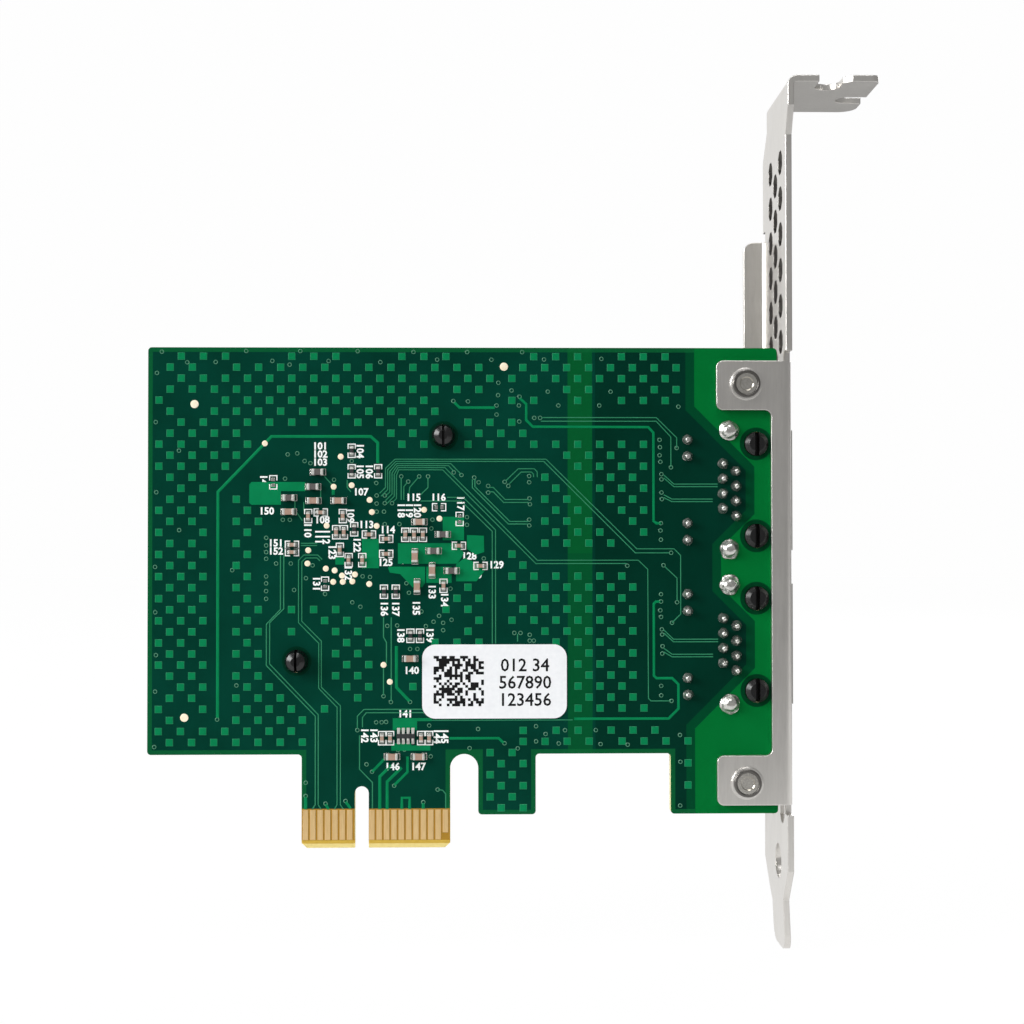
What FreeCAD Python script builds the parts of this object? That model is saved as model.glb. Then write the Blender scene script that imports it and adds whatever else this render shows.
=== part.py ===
import FreeCAD, Part
import math
import os
import Sketcher

# A two-port network interface card with a full-height mounting bracket, in millimetres.
# +X runs along the board towards the bracket, +Z up from the card edge, and +Y from the
# solder side to the component side. The origin is the centre of the key notch, at the
# board's bottom edge and in the middle of its thickness.

Vector = FreeCAD.Vector

DIMENSIONS = [
    # The printed circuit board's outline, measured from the key notch.
    ("board_thick", 1.57),
    ("board_left", -29.05),
    ("board_right", 56.76),
    ("board_top", 68.1),
    ("board_corner", 0.5),
    ("shoulder_height", 12.72),
    ("edge_left", -8.15),
    ("edge_right", 12.0),
    ("edge_chamfer", 0.7),
    ("bevel_height", 1.1),
    ("bevel_depth", 0.42),
    ("key_width", 1.9),
    ("key_top", 8.38),
    ("slot_right", 15.82),
    ("foot_right", 23.64),
    ("leg_left", 42.06),
    ("leg_bottom", 4.5),
    # The gold contacts of the card edge.
    ("contact_pitch", 1.0),
    ("contact_width", 0.74),
    ("contact_thick", 0.04),
    ("contact_low", 1.15),
    ("contact_high", 5.2),
    ("contact_short_low", 2.1),
    ("contact_left_first", -7.64),
    ("contact_left_count", 7),
    ("contact_right_first", 1.36),
    ("contact_right_count", 11),
    # The folded steel bracket.
    ("sheet_thick", 0.86),
    ("fold_radius", 0.45),
    ("plate_inner", 57.9),
    ("bracket_width", 18.42),
    ("bracket_height", 120.02),
    ("bracket_top", 105.0),
    ("head_shift", 2.05),
    ("head_width", 16.9),
    ("head_low", 101.0),
    ("head_slope", 3.7),
    ("top_tab_length", 11.75),
    ("screw_notch_near", 4.33),
    ("screw_notch_width", 3.46),
    ("screw_notch_depth", 4.85),
    ("screw_notch_flare", 1.1),
    ("end_notch_centre", 10.2),
    ("end_notch_width", 3.6),
    ("end_notch_depth", 4.0),
    ("tab_near_corner", 1.0),
    ("tab_far_corner", 2.4),
    ("tongue_near", 3.75),
    ("tongue_width", 8.9),
    ("taper_near_high", -3.4),
    ("taper_near_low", -7.9),
    ("taper_far_high", -4.3),
    ("taper_far_low", -9.6),
    ("tongue_bend", -8.3),
    ("tongue_lean", 0.3),
    ("tongue_corner", 2.2),
    ("tongue_hole_radius", 2.4),
    ("tongue_hole_near", 7.4),
    ("tongue_hole_height", -3.1),
    ("strip_left", 55.85),
    ("strip_low", 5.7),
    ("strip_high", 66.3),
    ("ear_left", 48.35),
    ("ear_height", 6.75),
    ("ear_corner", 0.9),
    ("relief_height", 1.4),
    ("relief_depth", 1.9),
    ("far_flange_depth", 3.0),
    ("far_flange_low", 5.7),
    ("far_flange_high", 85.5),
    ("far_flange_corner", 1.4),
    ("vent_radius", 1.75),
    ("vent_pitch", 5.0),
    ("vent_column_gap", 3.91),
    ("vent_first_column", 4.12),
    ("vent_top", 94.34),
    ("vent_rows_above", 7),
    ("vent_low", 4.34),
    ("vent_rows_below", 3),
    ("port_clearance", 0.35),
    # The two machine screws that hold the bracket's ears to the board.
    ("screw_radius", 1.45),
    ("screw_clearance", 0.05),
    ("screw_end_sink", 0.15),
    ("screw_cup_radius", 0.95),
    ("screw_cup_depth", 0.25),
    ("screw_hole_radius", 1.65),
    ("screw_x", 52.4),
    ("screw_upper_z", 63.1),
    ("screw_lower_z", 8.75),
    ("screw_head_radius", 2.8),
    ("screw_head_height", 1.9),
    ("screw_head_round", 0.7),
    ("screw_recess_radius", 1.1),
    ("screw_recess_arm", 0.5),
    ("boss_radius", 2.15),
    ("boss_step_radius", 1.85),
    ("boss_height", 0.9),
    ("boss_step_height", 0.45),
    # The two RJ45 jacks.
    ("jack_upper_z", 48.66),
    ("jack_lower_z", 27.53),
    ("jack_rear", 42.2),
    ("jack_front", 59.15),
    ("jack_width", 16.5),
    ("jack_height", 13.4),
    ("shield_thick", 0.25),
    ("shield_gap", 0.05),
    ("shield_pin_x", 50.2),
    ("shield_pin_width", 1.1),
    ("shield_hole_radius", 0.8),
    ("finger_start", 53.3),
    ("finger_end", 57.3),
    ("finger_root", 0.8),
    ("finger_rise", 0.7),
    ("finger_width", 3.0),
    ("window_low", 1.7),
    ("window_margin", 0.7),
    ("pin_reach", 1.2),
    ("peg_x", 53.9),
    ("peg_inset", 1.95),
    ("peg_radius", 1.6),
    ("peg_clearance", 0.05),
    ("peg_reach", 1.1),
    ("peg_split", 0.6),
    ("peg_root", 0.3),
    ("port_width", 11.9),
    ("port_height", 6.8),
    ("port_floor", 2.3),
    ("port_depth", 13.0),
    ("latch_width", 6.2),
    ("latch_height", 2.1),
    ("latch_depth", 7.5),
    ("contact_wire", 0.3),
    ("contact_wire_width", 0.45),
    ("jack_pin_pitch", 1.02),
    ("jack_pin_row_a", 49.3),
    ("jack_pin_row_b", 51.1),
    ("jack_pin_hole", 0.45),
    ("comb_width", 0.62),
    ("comb_floor", 0.9),
    ("comb_front", 58.3),
    ("wire_level", 1.5),
    ("wire_turn_x", 56.8),
    ("wire_tip_x", 52.2),
    ("wire_tip_level", 4.3),
    ("led_pin_x", 44.5),
    ("led_inset", 2.535),
    ("led_lead_pitch", 2.29),
    ("led_lead", 0.45),
    ("led_rear", 53.0),
    ("led_low", 9.9),
    ("led_height", 2.6),
    ("led_width", 3.0),
    ("led_margin", 0.1),
    # The line transformers, one behind each jack.
    ("transformer_x", 29.9),
    ("transformer_width", 9.6),
    ("transformer_length", 17.2),
    ("transformer_height", 5.6),
    ("transformer_lead_exit", 1.96),
    ("transformer_lead_count", 12),
    # What every moulded package with leads has in common.
    ("package_standoff", 0.1),
    ("package_chamfer", 0.3),
    ("package_lead_pitch", 1.27),
    ("package_lead_width", 0.42),
    ("dimple_radius", 0.4),
    ("dimple_inset", 1.0),
    ("dimple_depth", 0.15),
    ("lead_thick", 0.22),
    ("lead_foot", 0.9),
    ("lead_reach", 0.9),
    # The controller under its heat sink.
    ("controller_x", 1.13),
    ("controller_z", 40.72),
    ("controller_size", 17.0),
    ("substrate_thick", 0.6),
    ("mould_size", 14.6),
    ("mould_thick", 0.85),
    ("ball_height", 0.4),
    ("ball_radius", 0.28),
    ("ball_pitch", 1.27),
    ("ball_ring", 13),
    ("thermal_pad_size", 14.0),
    ("thermal_pad_thick", 0.3),
    ("sink_width", 27.2),
    ("sink_length", 24.0),
    ("sink_base", 2.0),
    ("fin_height", 7.0),
    ("fin_thick", 0.9),
    ("fin_count", 11),
    ("sink_ear_width", 7.1),
    ("push_pin_dx", 9.97),
    ("push_pin_dz", 15.33),
    ("push_pin_hole", 1.55),
    ("push_pin_radius", 1.35),
    ("push_pin_barb", 1.56),
    ("push_pin_tip", 2.1),
    ("push_pin_slot", 0.35),
    ("push_pin_head", 2.9),
    ("push_pin_head_height", 1.3),
    ("push_pin_head_round", 0.5),
    ("push_pin_shoulder", 0.1),
    ("spring_height", 4.4),
    ("spring_radius", 2.0),
    ("spring_wire", 0.22),
    ("spring_pitch", 1.05),
    # The crystal, the memory, the regulators, the inductor and the bulk capacitors.
    ("crystal_x", -21.5),
    ("crystal_z", 36.0),
    ("crystal_length", 11.2),
    ("crystal_width", 4.6),
    ("crystal_height", 3.4),
    ("crystal_flange", 0.4),
    ("crystal_inset", 0.4),
    ("crystal_flat", 0.1),
    ("memory_x", -21.5),
    ("memory_z", 48.0),
    ("memory_width", 3.9),
    ("memory_length", 4.9),
    ("memory_height", 1.5),
    ("memory_lead_count", 4),
    ("regulator_1_x", -20.5),
    ("regulator_1_z", 59.0),
    ("regulator_2_x", -5.0),
    ("regulator_2_z", 60.5),
    ("regulator_width", 3.5),
    ("regulator_length", 6.5),
    ("regulator_height", 1.6),
    ("regulator_pitch", 2.3),
    ("regulator_lead_width", 0.7),
    ("regulator_tab_width", 3.0),
    ("inductor_x", -21.5),
    ("inductor_z", 22.0),
    ("inductor_size", 6.6),
    ("inductor_height", 3.0),
    ("inductor_corner", 1.2),
    ("groove_outer", 2.64),
    ("groove_inner", 2.18),
    ("groove_depth", 1.05),
    ("bulk_length", 3.5),
    ("bulk_width", 2.8),
    ("bulk_height", 1.9),
    ("bulk_chamfer", 0.45),
    # Chip parts in two case sizes, and the four-element resistor array.
    ("large_chip_length", 1.6),
    ("large_chip_width", 0.84),
    ("large_chip_height", 0.8),
    ("small_chip_length", 1.0),
    ("small_chip_width", 0.52),
    ("small_chip_height", 0.5),
    ("resistor_height", 0.36),
    ("array_x", 5.97),
    ("array_z", 15.2),
    ("array_length", 2.5),
    ("array_width", 1.2),
    ("array_height", 0.45),
    ("array_pitch", 0.65),
    ("array_pad", 0.38),
    ("array_pad_depth", 0.2),
    ("array_pad_proud", 0.02),
    ("array_groove", 0.15),
    # The label on the solder side.
    ("label_left", 8.2),
    ("label_right", 27.9),
    ("label_low", 17.53),
    ("label_high", 27.6),
    ("label_corner", 1.8),
    ("label_thick", 0.1),
]

doc = FreeCAD.newDocument("network_interface_card")
sheet = doc.addObject("Spreadsheet::Sheet", "Dims")
for row, (alias, number) in enumerate(DIMENSIONS, start=1):
    sheet.set("A%d" % row, alias)
    sheet.set("B%d" % row, str(number))
    sheet.setAlias("B%d" % row, alias)
doc.recompute()


class Size:
    """A length that is both a number and the sheet expression that gives it."""

    def __init__(self, number, text=None):
        self.number = float(number)
        self.text = text if text else repr(float(number))

    def __add__(self, other):
        other = as_size(other)
        return Size(self.number + other.number, "(%s + %s)" % (self.text, other.text))

    def __sub__(self, other):
        other = as_size(other)
        return Size(self.number - other.number, "(%s - %s)" % (self.text, other.text))

    def __mul__(self, other):
        other = as_size(other)
        return Size(self.number * other.number, "(%s * %s)" % (self.text, other.text))

    def __truediv__(self, other):
        other = as_size(other)
        return Size(self.number / other.number, "(%s / %s)" % (self.text, other.text))

    def __radd__(self, other):
        return as_size(other) + self

    def __rsub__(self, other):
        return as_size(other) - self

    def __rmul__(self, other):
        return as_size(other) * self

    def __neg__(self):
        return as_size(0) - self


def as_size(value):
    return value if isinstance(value, Size) else Size(value)


class Cells:
    """The sheet's cells as Sizes, by their aliases."""

    def __getattr__(self, alias):
        return Size(sheet.get(alias), "Dims." + alias)


def bind(item, name, size):
    """Tie one property or constraint of an object to the sheet."""
    item.setExpression(name, as_size(size).text)


def number(size):
    return as_size(size).number


def point(x, y, z):
    return Vector(number(x), number(y), number(z))


class Circle:
    def __init__(self, u, v, radius):
        self.u, self.v, self.radius = u, v, radius


def rectangle(u_low, v_low, u_high, v_high):
    return [(u_low, v_low), (u_high, v_low), (u_high, v_high), (u_low, v_high)]


def regular(sides, u, v, radius):
    """A regular polygon: a small round thing that repeats too often to be truly round."""
    turns = [math.radians(360 * (step + 0.5) / sides) for step in range(sides)]
    return [(u + radius * math.cos(turn), v + radius * math.sin(turn)) for turn in turns]


# Which way each origin plane's own normal points: +Z, -Y and +X.
PLANE_SIGN = {"XY": 1, "XZ": -1, "YZ": 1}


class Piece:
    """A PartDesign body whose sketches lie on its own origin planes."""

    def __init__(self, label):
        self.body = doc.addObject("PartDesign::Body", label)
        self.body.Label = label
        self.count = 0

    def origin(self, role):
        return next(item for item in self.body.Origin.OriginFeatures if item.Role == role)

    def feature(self, kind):
        self.count += 1
        return self.body.newObject(kind, "%s_%d" % (self.body.Name, self.count))

    def sketch(self, plane, level, outlines, shift=(0, 0)):
        """Draw closed outlines in a plane at one level along its axis."""
        sketch = self.feature("Sketcher::SketchObject")
        sketch.AttachmentSupport = [(self.origin(plane + "_Plane"), "")]
        sketch.MapMode = "FlatFace"
        bind(sketch, ".AttachmentOffset.Base.x", shift[0])
        bind(sketch, ".AttachmentOffset.Base.y", shift[1])
        bind(sketch, ".AttachmentOffset.Base.z", as_size(level) * PLANE_SIGN[plane])
        for outline in outlines:
            if isinstance(outline, Circle):
                draw_circle(sketch, outline)
            else:
                draw_polygon(sketch, outline)
        return sketch

    def pad(self, plane, low, high, *outlines):
        start = low if PLANE_SIGN[plane] > 0 else high
        pad = self.feature("PartDesign::Pad")
        pad.Profile = self.sketch(plane, start, outlines)
        bind(pad, "Length", as_size(high) - low)
        self.finish(pad)
        return pad

    def pocket(self, plane, low, high, *outlines):
        before = self.body.Shape.Volume
        start = high if PLANE_SIGN[plane] > 0 else low
        pocket = self.feature("PartDesign::Pocket")
        pocket.Profile = self.sketch(plane, start, outlines)
        bind(pocket, "Length", as_size(high) - low)
        self.finish(pocket)
        if self.body.Shape.Volume > before - 1e-4:
            raise RuntimeError("%s cuts nothing" % pocket.Name)
        return pocket

    def revolve(self, x, z, profile):
        """Turn a profile of (radius, y) points about an axis along Y."""
        turned = self.feature("PartDesign::Revolution")
        sketch = self.sketch("XY", z, [profile], shift=(x, 0))
        turned.Profile = sketch
        turned.ReferenceAxis = (sketch, ["V_Axis"])
        turned.Angle = 360
        self.finish(turned)

    def repeat(self, feature, axis, pitch, count, backwards=False):
        pattern = self.feature("PartDesign::LinearPattern")
        pattern.Originals = [feature]
        pattern.Direction = (self.origin(axis + "_Axis"), [""])
        pattern.Reversed = backwards
        bind(pattern, "Length", as_size(pitch) * (as_size(count) - 1))
        bind(pattern, "Occurrences", count)
        self.body.Tip = pattern
        self.finish(pattern)

    def dress(self, kind, name, size, places):
        """Fillet or chamfer the edges that pass through the given points."""
        base = self.body.Tip
        edges = []
        for place in places:
            vertex = Part.Vertex(place)
            found = ["Edge%d" % (index + 1) for index, edge in enumerate(base.Shape.Edges)
                     if edge.distToShape(vertex)[0] < 1e-3]
            if not found:
                raise RuntimeError("%s has no edge at %s" % (self.body.Label, place))
            edges += [edge for edge in found if edge not in edges]
        dressing = self.feature(kind)
        dressing.Base = (base, edges)
        bind(dressing, name, size)
        self.finish(dressing)

    def fillet(self, radius, *places):
        self.dress("PartDesign::Fillet", "Radius", radius, places)

    def chamfer(self, size, *places):
        self.dress("PartDesign::Chamfer", "Size", size, places)

    def finish(self, feature):
        doc.recompute()
        if "Invalid" in feature.State or "Error" in feature.State:
            raise RuntimeError("%s failed: %s" % (feature.Name, feature.State))


def fix_point(sketch, geometry, position, u, v):
    for kind, size in (("DistanceX", u), ("DistanceY", v)):
        rule = Sketcher.Constraint(kind, -1, 1, geometry, position, number(size))
        index = sketch.addConstraint(rule)
        bind(sketch, "Constraints[%d]" % index, size)


def draw_polygon(sketch, corners):
    first = sketch.GeometryCount
    places = [Vector(number(u), number(v), 0) for u, v in corners]
    for index, place in enumerate(places):
        following = places[(index + 1) % len(places)]
        sketch.addGeometry(Part.LineSegment(place, following), False)
    for index in range(len(corners)):
        following = first + (index + 1) % len(corners)
        sketch.addConstraint(Sketcher.Constraint("Coincident", first + index, 2, following, 1))
    for index, (u, v) in enumerate(corners):
        fix_point(sketch, first + index, 1, u, v)


def draw_circle(sketch, circle):
    centre = Vector(number(circle.u), number(circle.v), 0)
    shape = Part.Circle(centre, Vector(0, 0, 1), number(circle.radius))
    geometry = sketch.addGeometry(shape, False)
    fix_point(sketch, geometry, 3, circle.u, circle.v)
    rule = Sketcher.Constraint("Radius", geometry, number(circle.radius))
    bind(sketch, "Constraints[%d]" % sketch.addConstraint(rule), circle.radius)


def group(label, pieces):
    """Put like solids in one node."""
    compound = doc.addObject("Part::Compound", label)
    compound.Links = [piece.body for piece in pieces]
    compound.Label = label
    doc.recompute()
    return compound


dim = Cells()
nodes = []

# Planes that many pieces share.
solder_face = -dim.board_thick / 2
component_face = dim.board_thick / 2
plate_outer = dim.plate_inner + dim.sheet_thick
bracket_near = solder_face - dim.sheet_thick
bracket_far = bracket_near + dim.bracket_width
jack_centres = {"upper": dim.jack_upper_z, "lower": dim.jack_lower_z}
pin_end = solder_face - dim.pin_reach


def jack_pins(centre):
    """The (x, z) places of a jack's eight signal pins, in two staggered rows."""
    rows = (dim.jack_pin_row_a, dim.jack_pin_row_b)
    return [(rows[index % 2], centre + dim.jack_pin_pitch * (3.5 - index)) for index in range(8)]


def both_sides(centre, inset):
    """The two heights that lie the given distance inside a jack's lower and upper sides."""
    offset = dim.jack_width / 2 - inset
    return centre - offset, centre + offset


def led_pins(centre):
    half = dim.led_lead_pitch / 2
    return [(dim.led_pin_x, lamp + step) for lamp in both_sides(centre, dim.led_inset)
            for step in (-half, half)]


push_pin_places = [(dim.controller_x + dim.push_pin_dx, dim.controller_z + dim.push_pin_dz),
                   (dim.controller_x - dim.push_pin_dx, dim.controller_z - dim.push_pin_dz)]
screw_places = [(dim.screw_x, dim.screw_upper_z), (dim.screw_x, dim.screw_lower_z)]


# ---------------------------------------------------------------------------
# The circuit board: one routed panel with the card edge, its key notch, the retention slot
# beside it, and every hole that a pin, peg or screw passes through.
# ---------------------------------------------------------------------------
def make_circuit_board():
    board = Piece("circuit_board")
    slot_radius = (dim.slot_right - dim.edge_right) / 2
    slot_centre_z = dim.shoulder_height - slot_radius
    outline = [
        (dim.board_left, dim.shoulder_height),
        (dim.edge_left, dim.shoulder_height),
        (dim.edge_left, dim.edge_chamfer),
        (dim.edge_left + dim.edge_chamfer, 0),
        (dim.edge_right - dim.edge_chamfer, 0),
        (dim.edge_right, dim.edge_chamfer),
        (dim.edge_right, slot_centre_z),
        (dim.slot_right, slot_centre_z),
        (dim.slot_right, dim.leg_bottom),
        (dim.foot_right, dim.leg_bottom),
        (dim.foot_right, dim.shoulder_height),
        (dim.leg_left, dim.shoulder_height),
        (dim.leg_left, dim.leg_bottom),
        (dim.board_right, dim.leg_bottom),
        (dim.board_right, dim.board_top),
        (dim.board_left, dim.board_top),
    ]
    board.pad("XZ", solder_face, component_face, outline)
    corners = [(dim.board_left, dim.shoulder_height), (dim.board_left, dim.board_top),
               (dim.board_right, dim.board_top), (dim.board_right, dim.leg_bottom),
               (dim.leg_left, dim.leg_bottom), (dim.foot_right, dim.leg_bottom),
               (dim.slot_right, dim.leg_bottom), (dim.edge_left, dim.shoulder_height),
               (dim.foot_right, dim.shoulder_height), (dim.leg_left, dim.shoulder_height)]
    board.fillet(dim.board_corner, *[point(x, 0, z) for x, z in corners])

    key_radius = dim.key_width / 2
    key_centre_z = dim.key_top - key_radius
    board.pocket("XZ", solder_face, component_face,
                 rectangle(-key_radius, -1, key_radius, key_centre_z))
    holes = [Circle(0, key_centre_z, key_radius),
             Circle(dim.edge_right + slot_radius, slot_centre_z, slot_radius)]
    holes += [Circle(x, z, dim.screw_hole_radius) for x, z in screw_places]
    holes += [Circle(x, z, dim.push_pin_hole) for x, z in push_pin_places]
    for centre in jack_centres.values():
        holes += [Circle(dim.shield_pin_x, z, dim.shield_hole_radius)
                  for z in both_sides(centre, dim.shield_thick / 2)]
        holes += [Circle(dim.peg_x, z, dim.peg_radius + dim.peg_clearance)
                  for z in both_sides(centre, dim.peg_inset)]
    board.pocket("XZ", solder_face, component_face, *holes)
    for centre in jack_centres.values():
        signal_pins = jack_pins(centre)
        for pins in (signal_pins[:4], signal_pins[4:], led_pins(centre)):
            board.pocket("XZ", solder_face, component_face,
                         *[regular(6, x, z, dim.jack_pin_hole) for x, z in pins])

    # The card edge is bevelled on both faces, so that it slides into its socket.
    wedges = [[(face, -1), (face, dim.bevel_height), (face - side * dim.bevel_depth, 0),
               (face - side * dim.bevel_depth, -1)]
              for face, side in ((solder_face, -1), (component_face, 1))]
    board.pocket("YZ", dim.edge_left - 1, dim.edge_right + 1, *wedges)
    nodes.append(board.body)


def make_edge_contacts(label, low, high):
    """Two banks of gold-plated contacts on one face; the last is short, so it mates last."""
    contacts = Piece(label)
    half = dim.contact_width / 2
    banks = ((dim.contact_left_first, dim.contact_left_count),
             (dim.contact_right_first, dim.contact_right_count - 1))
    for first, count in banks:
        contact = contacts.pad("XZ", low, high, rectangle(first - half, dim.contact_low,
                                                          first + half, dim.contact_high))
        contacts.repeat(contact, "X", dim.contact_pitch, count)
    last = dim.contact_right_first + dim.contact_pitch * (dim.contact_right_count - 1)
    contacts.pad("XZ", low, high, rectangle(last - half, dim.contact_short_low,
                                            last + half, dim.contact_high))
    nodes.append(contacts.body)


# ---------------------------------------------------------------------------
# The bracket: one steel blank, pierced, then folded four ways. The head tab folds out at the
# top, two edge flanges fold in, and the tongue below is set slightly outwards.
# ---------------------------------------------------------------------------
def make_bracket():
    bracket = Piece("bracket")
    top_under = dim.bracket_top - dim.sheet_thick
    tip = dim.bracket_top - dim.bracket_height
    tab_end = plate_outer + dim.top_tab_length
    head_near = bracket_near - dim.head_shift
    head_far = head_near + dim.head_width
    side_profile = [
        (dim.plate_inner, dim.tongue_bend),
        (dim.plate_inner, dim.bracket_top),
        (tab_end, dim.bracket_top),
        (tab_end, top_under),
        (plate_outer, top_under),
        (plate_outer, dim.tongue_bend),
        (plate_outer + dim.tongue_lean, tip),
        (dim.plate_inner + dim.tongue_lean, tip),
    ]
    bracket.pad("XZ", head_near, bracket_far, side_profile)
    inner_fold = dim.fold_radius
    outer_fold = dim.fold_radius + dim.sheet_thick
    bracket.fillet(outer_fold, point(dim.plate_inner, 0, dim.bracket_top))
    bracket.fillet(inner_fold, point(plate_outer, 0, top_under))

    # The blank's outline: shoulders under the head, and the taper down to the tongue.
    tongue_near = bracket_near + dim.tongue_near
    tongue_far = tongue_near + dim.tongue_width
    below = tip - 5
    above = dim.bracket_top + 5
    blank = [
        (tongue_near, below),
        (tongue_near, dim.taper_near_low),
        (bracket_near, dim.taper_near_high),
        (bracket_near, dim.head_low - dim.head_slope),
        (head_near, dim.head_low),
        (head_near, above),
        (head_far, above),
        (head_far, dim.head_low),
        (bracket_far, dim.head_low - dim.head_slope),
        (bracket_far, dim.taper_far_high),
        (tongue_far, dim.taper_far_low),
        (tongue_far, below),
    ]
    frame = rectangle(head_near - 5, below - 5, bracket_far + 5, above + 5)
    bracket.pocket("YZ", dim.plate_inner - 5, tab_end + 5, frame, blank)
    tip_x = dim.plate_inner + dim.tongue_lean + dim.sheet_thick / 2
    bracket.fillet(dim.tongue_corner, point(tip_x, tongue_near, tip), point(tip_x, tongue_far, tip))

    # The head tab's notch for the chassis screw, and the one at its end.
    notch_radius = dim.screw_notch_width / 2
    notch_left = dim.plate_inner + dim.screw_notch_near
    notch_right = notch_left + dim.screw_notch_width
    notch_centre_y = head_near + dim.screw_notch_depth - notch_radius
    flare = dim.screw_notch_flare
    screw_notch = [
        (notch_left, head_near - 2),
        (notch_left, notch_centre_y),
        (notch_right, notch_centre_y),
        (notch_right, head_near + flare),
        (notch_right + flare, head_near - 0.01),
        (notch_right + flare, head_near - 2),
    ]
    end_radius = dim.end_notch_width / 2
    end_centre_y = head_near + dim.end_notch_centre
    end_centre_x = tab_end - dim.end_notch_depth + end_radius
    end_notch = rectangle(end_centre_x, end_centre_y - end_radius,
                          tab_end + 2, end_centre_y + end_radius)
    bracket.pocket("XY", top_under, dim.bracket_top, screw_notch, end_notch)
    bracket.pocket("XY", top_under, dim.bracket_top,
                   Circle(notch_left + notch_radius, notch_centre_y, notch_radius),
                   Circle(end_centre_x, end_centre_y, end_radius))
    tab_middle = dim.bracket_top - dim.sheet_thick / 2
    bracket.fillet(dim.tab_near_corner, point(tab_end, head_near, tab_middle))
    bracket.fillet(dim.tab_far_corner, point(tab_end, head_far, tab_middle))

    # The flange on the solder side, a narrow strip with an ear at each end.
    ear_inner_low = dim.strip_low + dim.ear_height
    ear_inner_high = dim.strip_high - dim.ear_height
    bracket.pad("XZ", bracket_near, solder_face, [
        (dim.ear_left, dim.strip_low),
        (dim.plate_inner + dim.sheet_thick / 2, dim.strip_low),
        (dim.plate_inner + dim.sheet_thick / 2, dim.strip_high),
        (dim.ear_left, dim.strip_high),
        (dim.ear_left, ear_inner_high),
        (dim.strip_left, ear_inner_high),
        (dim.strip_left, ear_inner_low),
        (dim.ear_left, ear_inner_low),
    ])
    # The flange on the component side, a plain strip.
    far_inside = bracket_far - dim.sheet_thick
    far_left = dim.plate_inner - dim.far_flange_depth
    bracket.pad("XZ", far_inside, bracket_far, rectangle(
        far_left, dim.far_flange_low, dim.plate_inner + dim.sheet_thick / 2, dim.far_flange_high))

    # Relief cuts at the ends of both folds.
    near_end = bracket_near + dim.relief_depth
    far_end = bracket_far - dim.relief_depth
    reliefs = [
        rectangle(bracket_near - 1, dim.strip_high, near_end, dim.strip_high + dim.relief_height),
        rectangle(bracket_near - 1, dim.strip_low - dim.relief_height, near_end, dim.strip_low),
        rectangle(far_end, dim.far_flange_high, bracket_far + 1,
                  dim.far_flange_high + dim.relief_height),
        rectangle(far_end, dim.far_flange_low - dim.relief_height, bracket_far + 1,
                  dim.far_flange_low),
    ]
    bracket.pocket("YZ", dim.plate_inner - 0.01, plate_outer + 0.01, *reliefs)
    middle_z = (dim.strip_low + dim.strip_high) / 2
    bracket.fillet(outer_fold, point(plate_outer, bracket_near, middle_z),
                   point(plate_outer, bracket_far, middle_z))
    bracket.fillet(inner_fold, point(dim.plate_inner, solder_face, middle_z),
                   point(dim.plate_inner, far_inside, middle_z))
    ear_middle_y = bracket_near + dim.sheet_thick / 2
    bracket.fillet(dim.ear_corner, *[
        point(x, ear_middle_y, z) for x, z in (
            (dim.ear_left, dim.strip_low), (dim.ear_left, ear_inner_low),
            (dim.strip_left, ear_inner_low), (dim.strip_left, ear_inner_high),
            (dim.ear_left, ear_inner_high), (dim.ear_left, dim.strip_high))])
    bracket.fillet(dim.far_flange_corner,
                   point(far_left, bracket_far - dim.sheet_thick / 2, dim.far_flange_high),
                   point(far_left, bracket_far - dim.sheet_thick / 2, dim.far_flange_low))

    # A tapped, extruded boss in each ear, with a step where the punch has drawn it.
    boss_end = bracket_near - dim.boss_height
    bracket.pad("XZ", bracket_near - dim.boss_step_height, bracket_near,
                *[Circle(x, z, dim.boss_radius) for x, z in screw_places])
    bracket.pad("XZ", boss_end, bracket_near - dim.boss_step_height,
                *[Circle(x, z, dim.boss_step_radius) for x, z in screw_places])
    bracket.pocket("XZ", boss_end, solder_face,
                   *[Circle(x, z, dim.screw_radius + dim.screw_clearance) for x, z in screw_places])

    # The openings in the plate: two ports, a hole in the foot and a field of vents.
    half_port = dim.jack_width / 2 + dim.port_clearance
    ports = [rectangle(component_face - dim.port_clearance, centre - half_port,
                       component_face + dim.jack_height + dim.port_clearance, centre + half_port)
             for centre in jack_centres.values()]
    foot_hole = Circle(bracket_near + dim.tongue_hole_near, dim.tongue_hole_height,
                       dim.tongue_hole_radius)
    bracket.pocket("YZ", dim.plate_inner - 0.01, plate_outer + 0.01, foot_hole, *ports)

    def vents(columns, first_z, rows):
        circles = [regular(8, bracket_near + dim.vent_first_column + dim.vent_column_gap * column,
                          first_z, dim.vent_radius) for column in columns]
        row = bracket.pocket("YZ", dim.plate_inner - 0.01, plate_outer + 0.01, *circles)
        bracket.repeat(row, "Z", dim.vent_pitch, rows, backwards=True)

    lower_top = dim.vent_low + dim.vent_pitch * (dim.vent_rows_below - 1)
    vents((0, 2), dim.vent_top, dim.vent_rows_above)
    vents((1,), dim.vent_top - dim.vent_pitch / 2, dim.vent_rows_above - 1)
    vents((0, 2), lower_top, dim.vent_rows_below)
    vents((1,), lower_top - dim.vent_pitch / 2, dim.vent_rows_below - 1)
    nodes.append(bracket.body)


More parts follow.
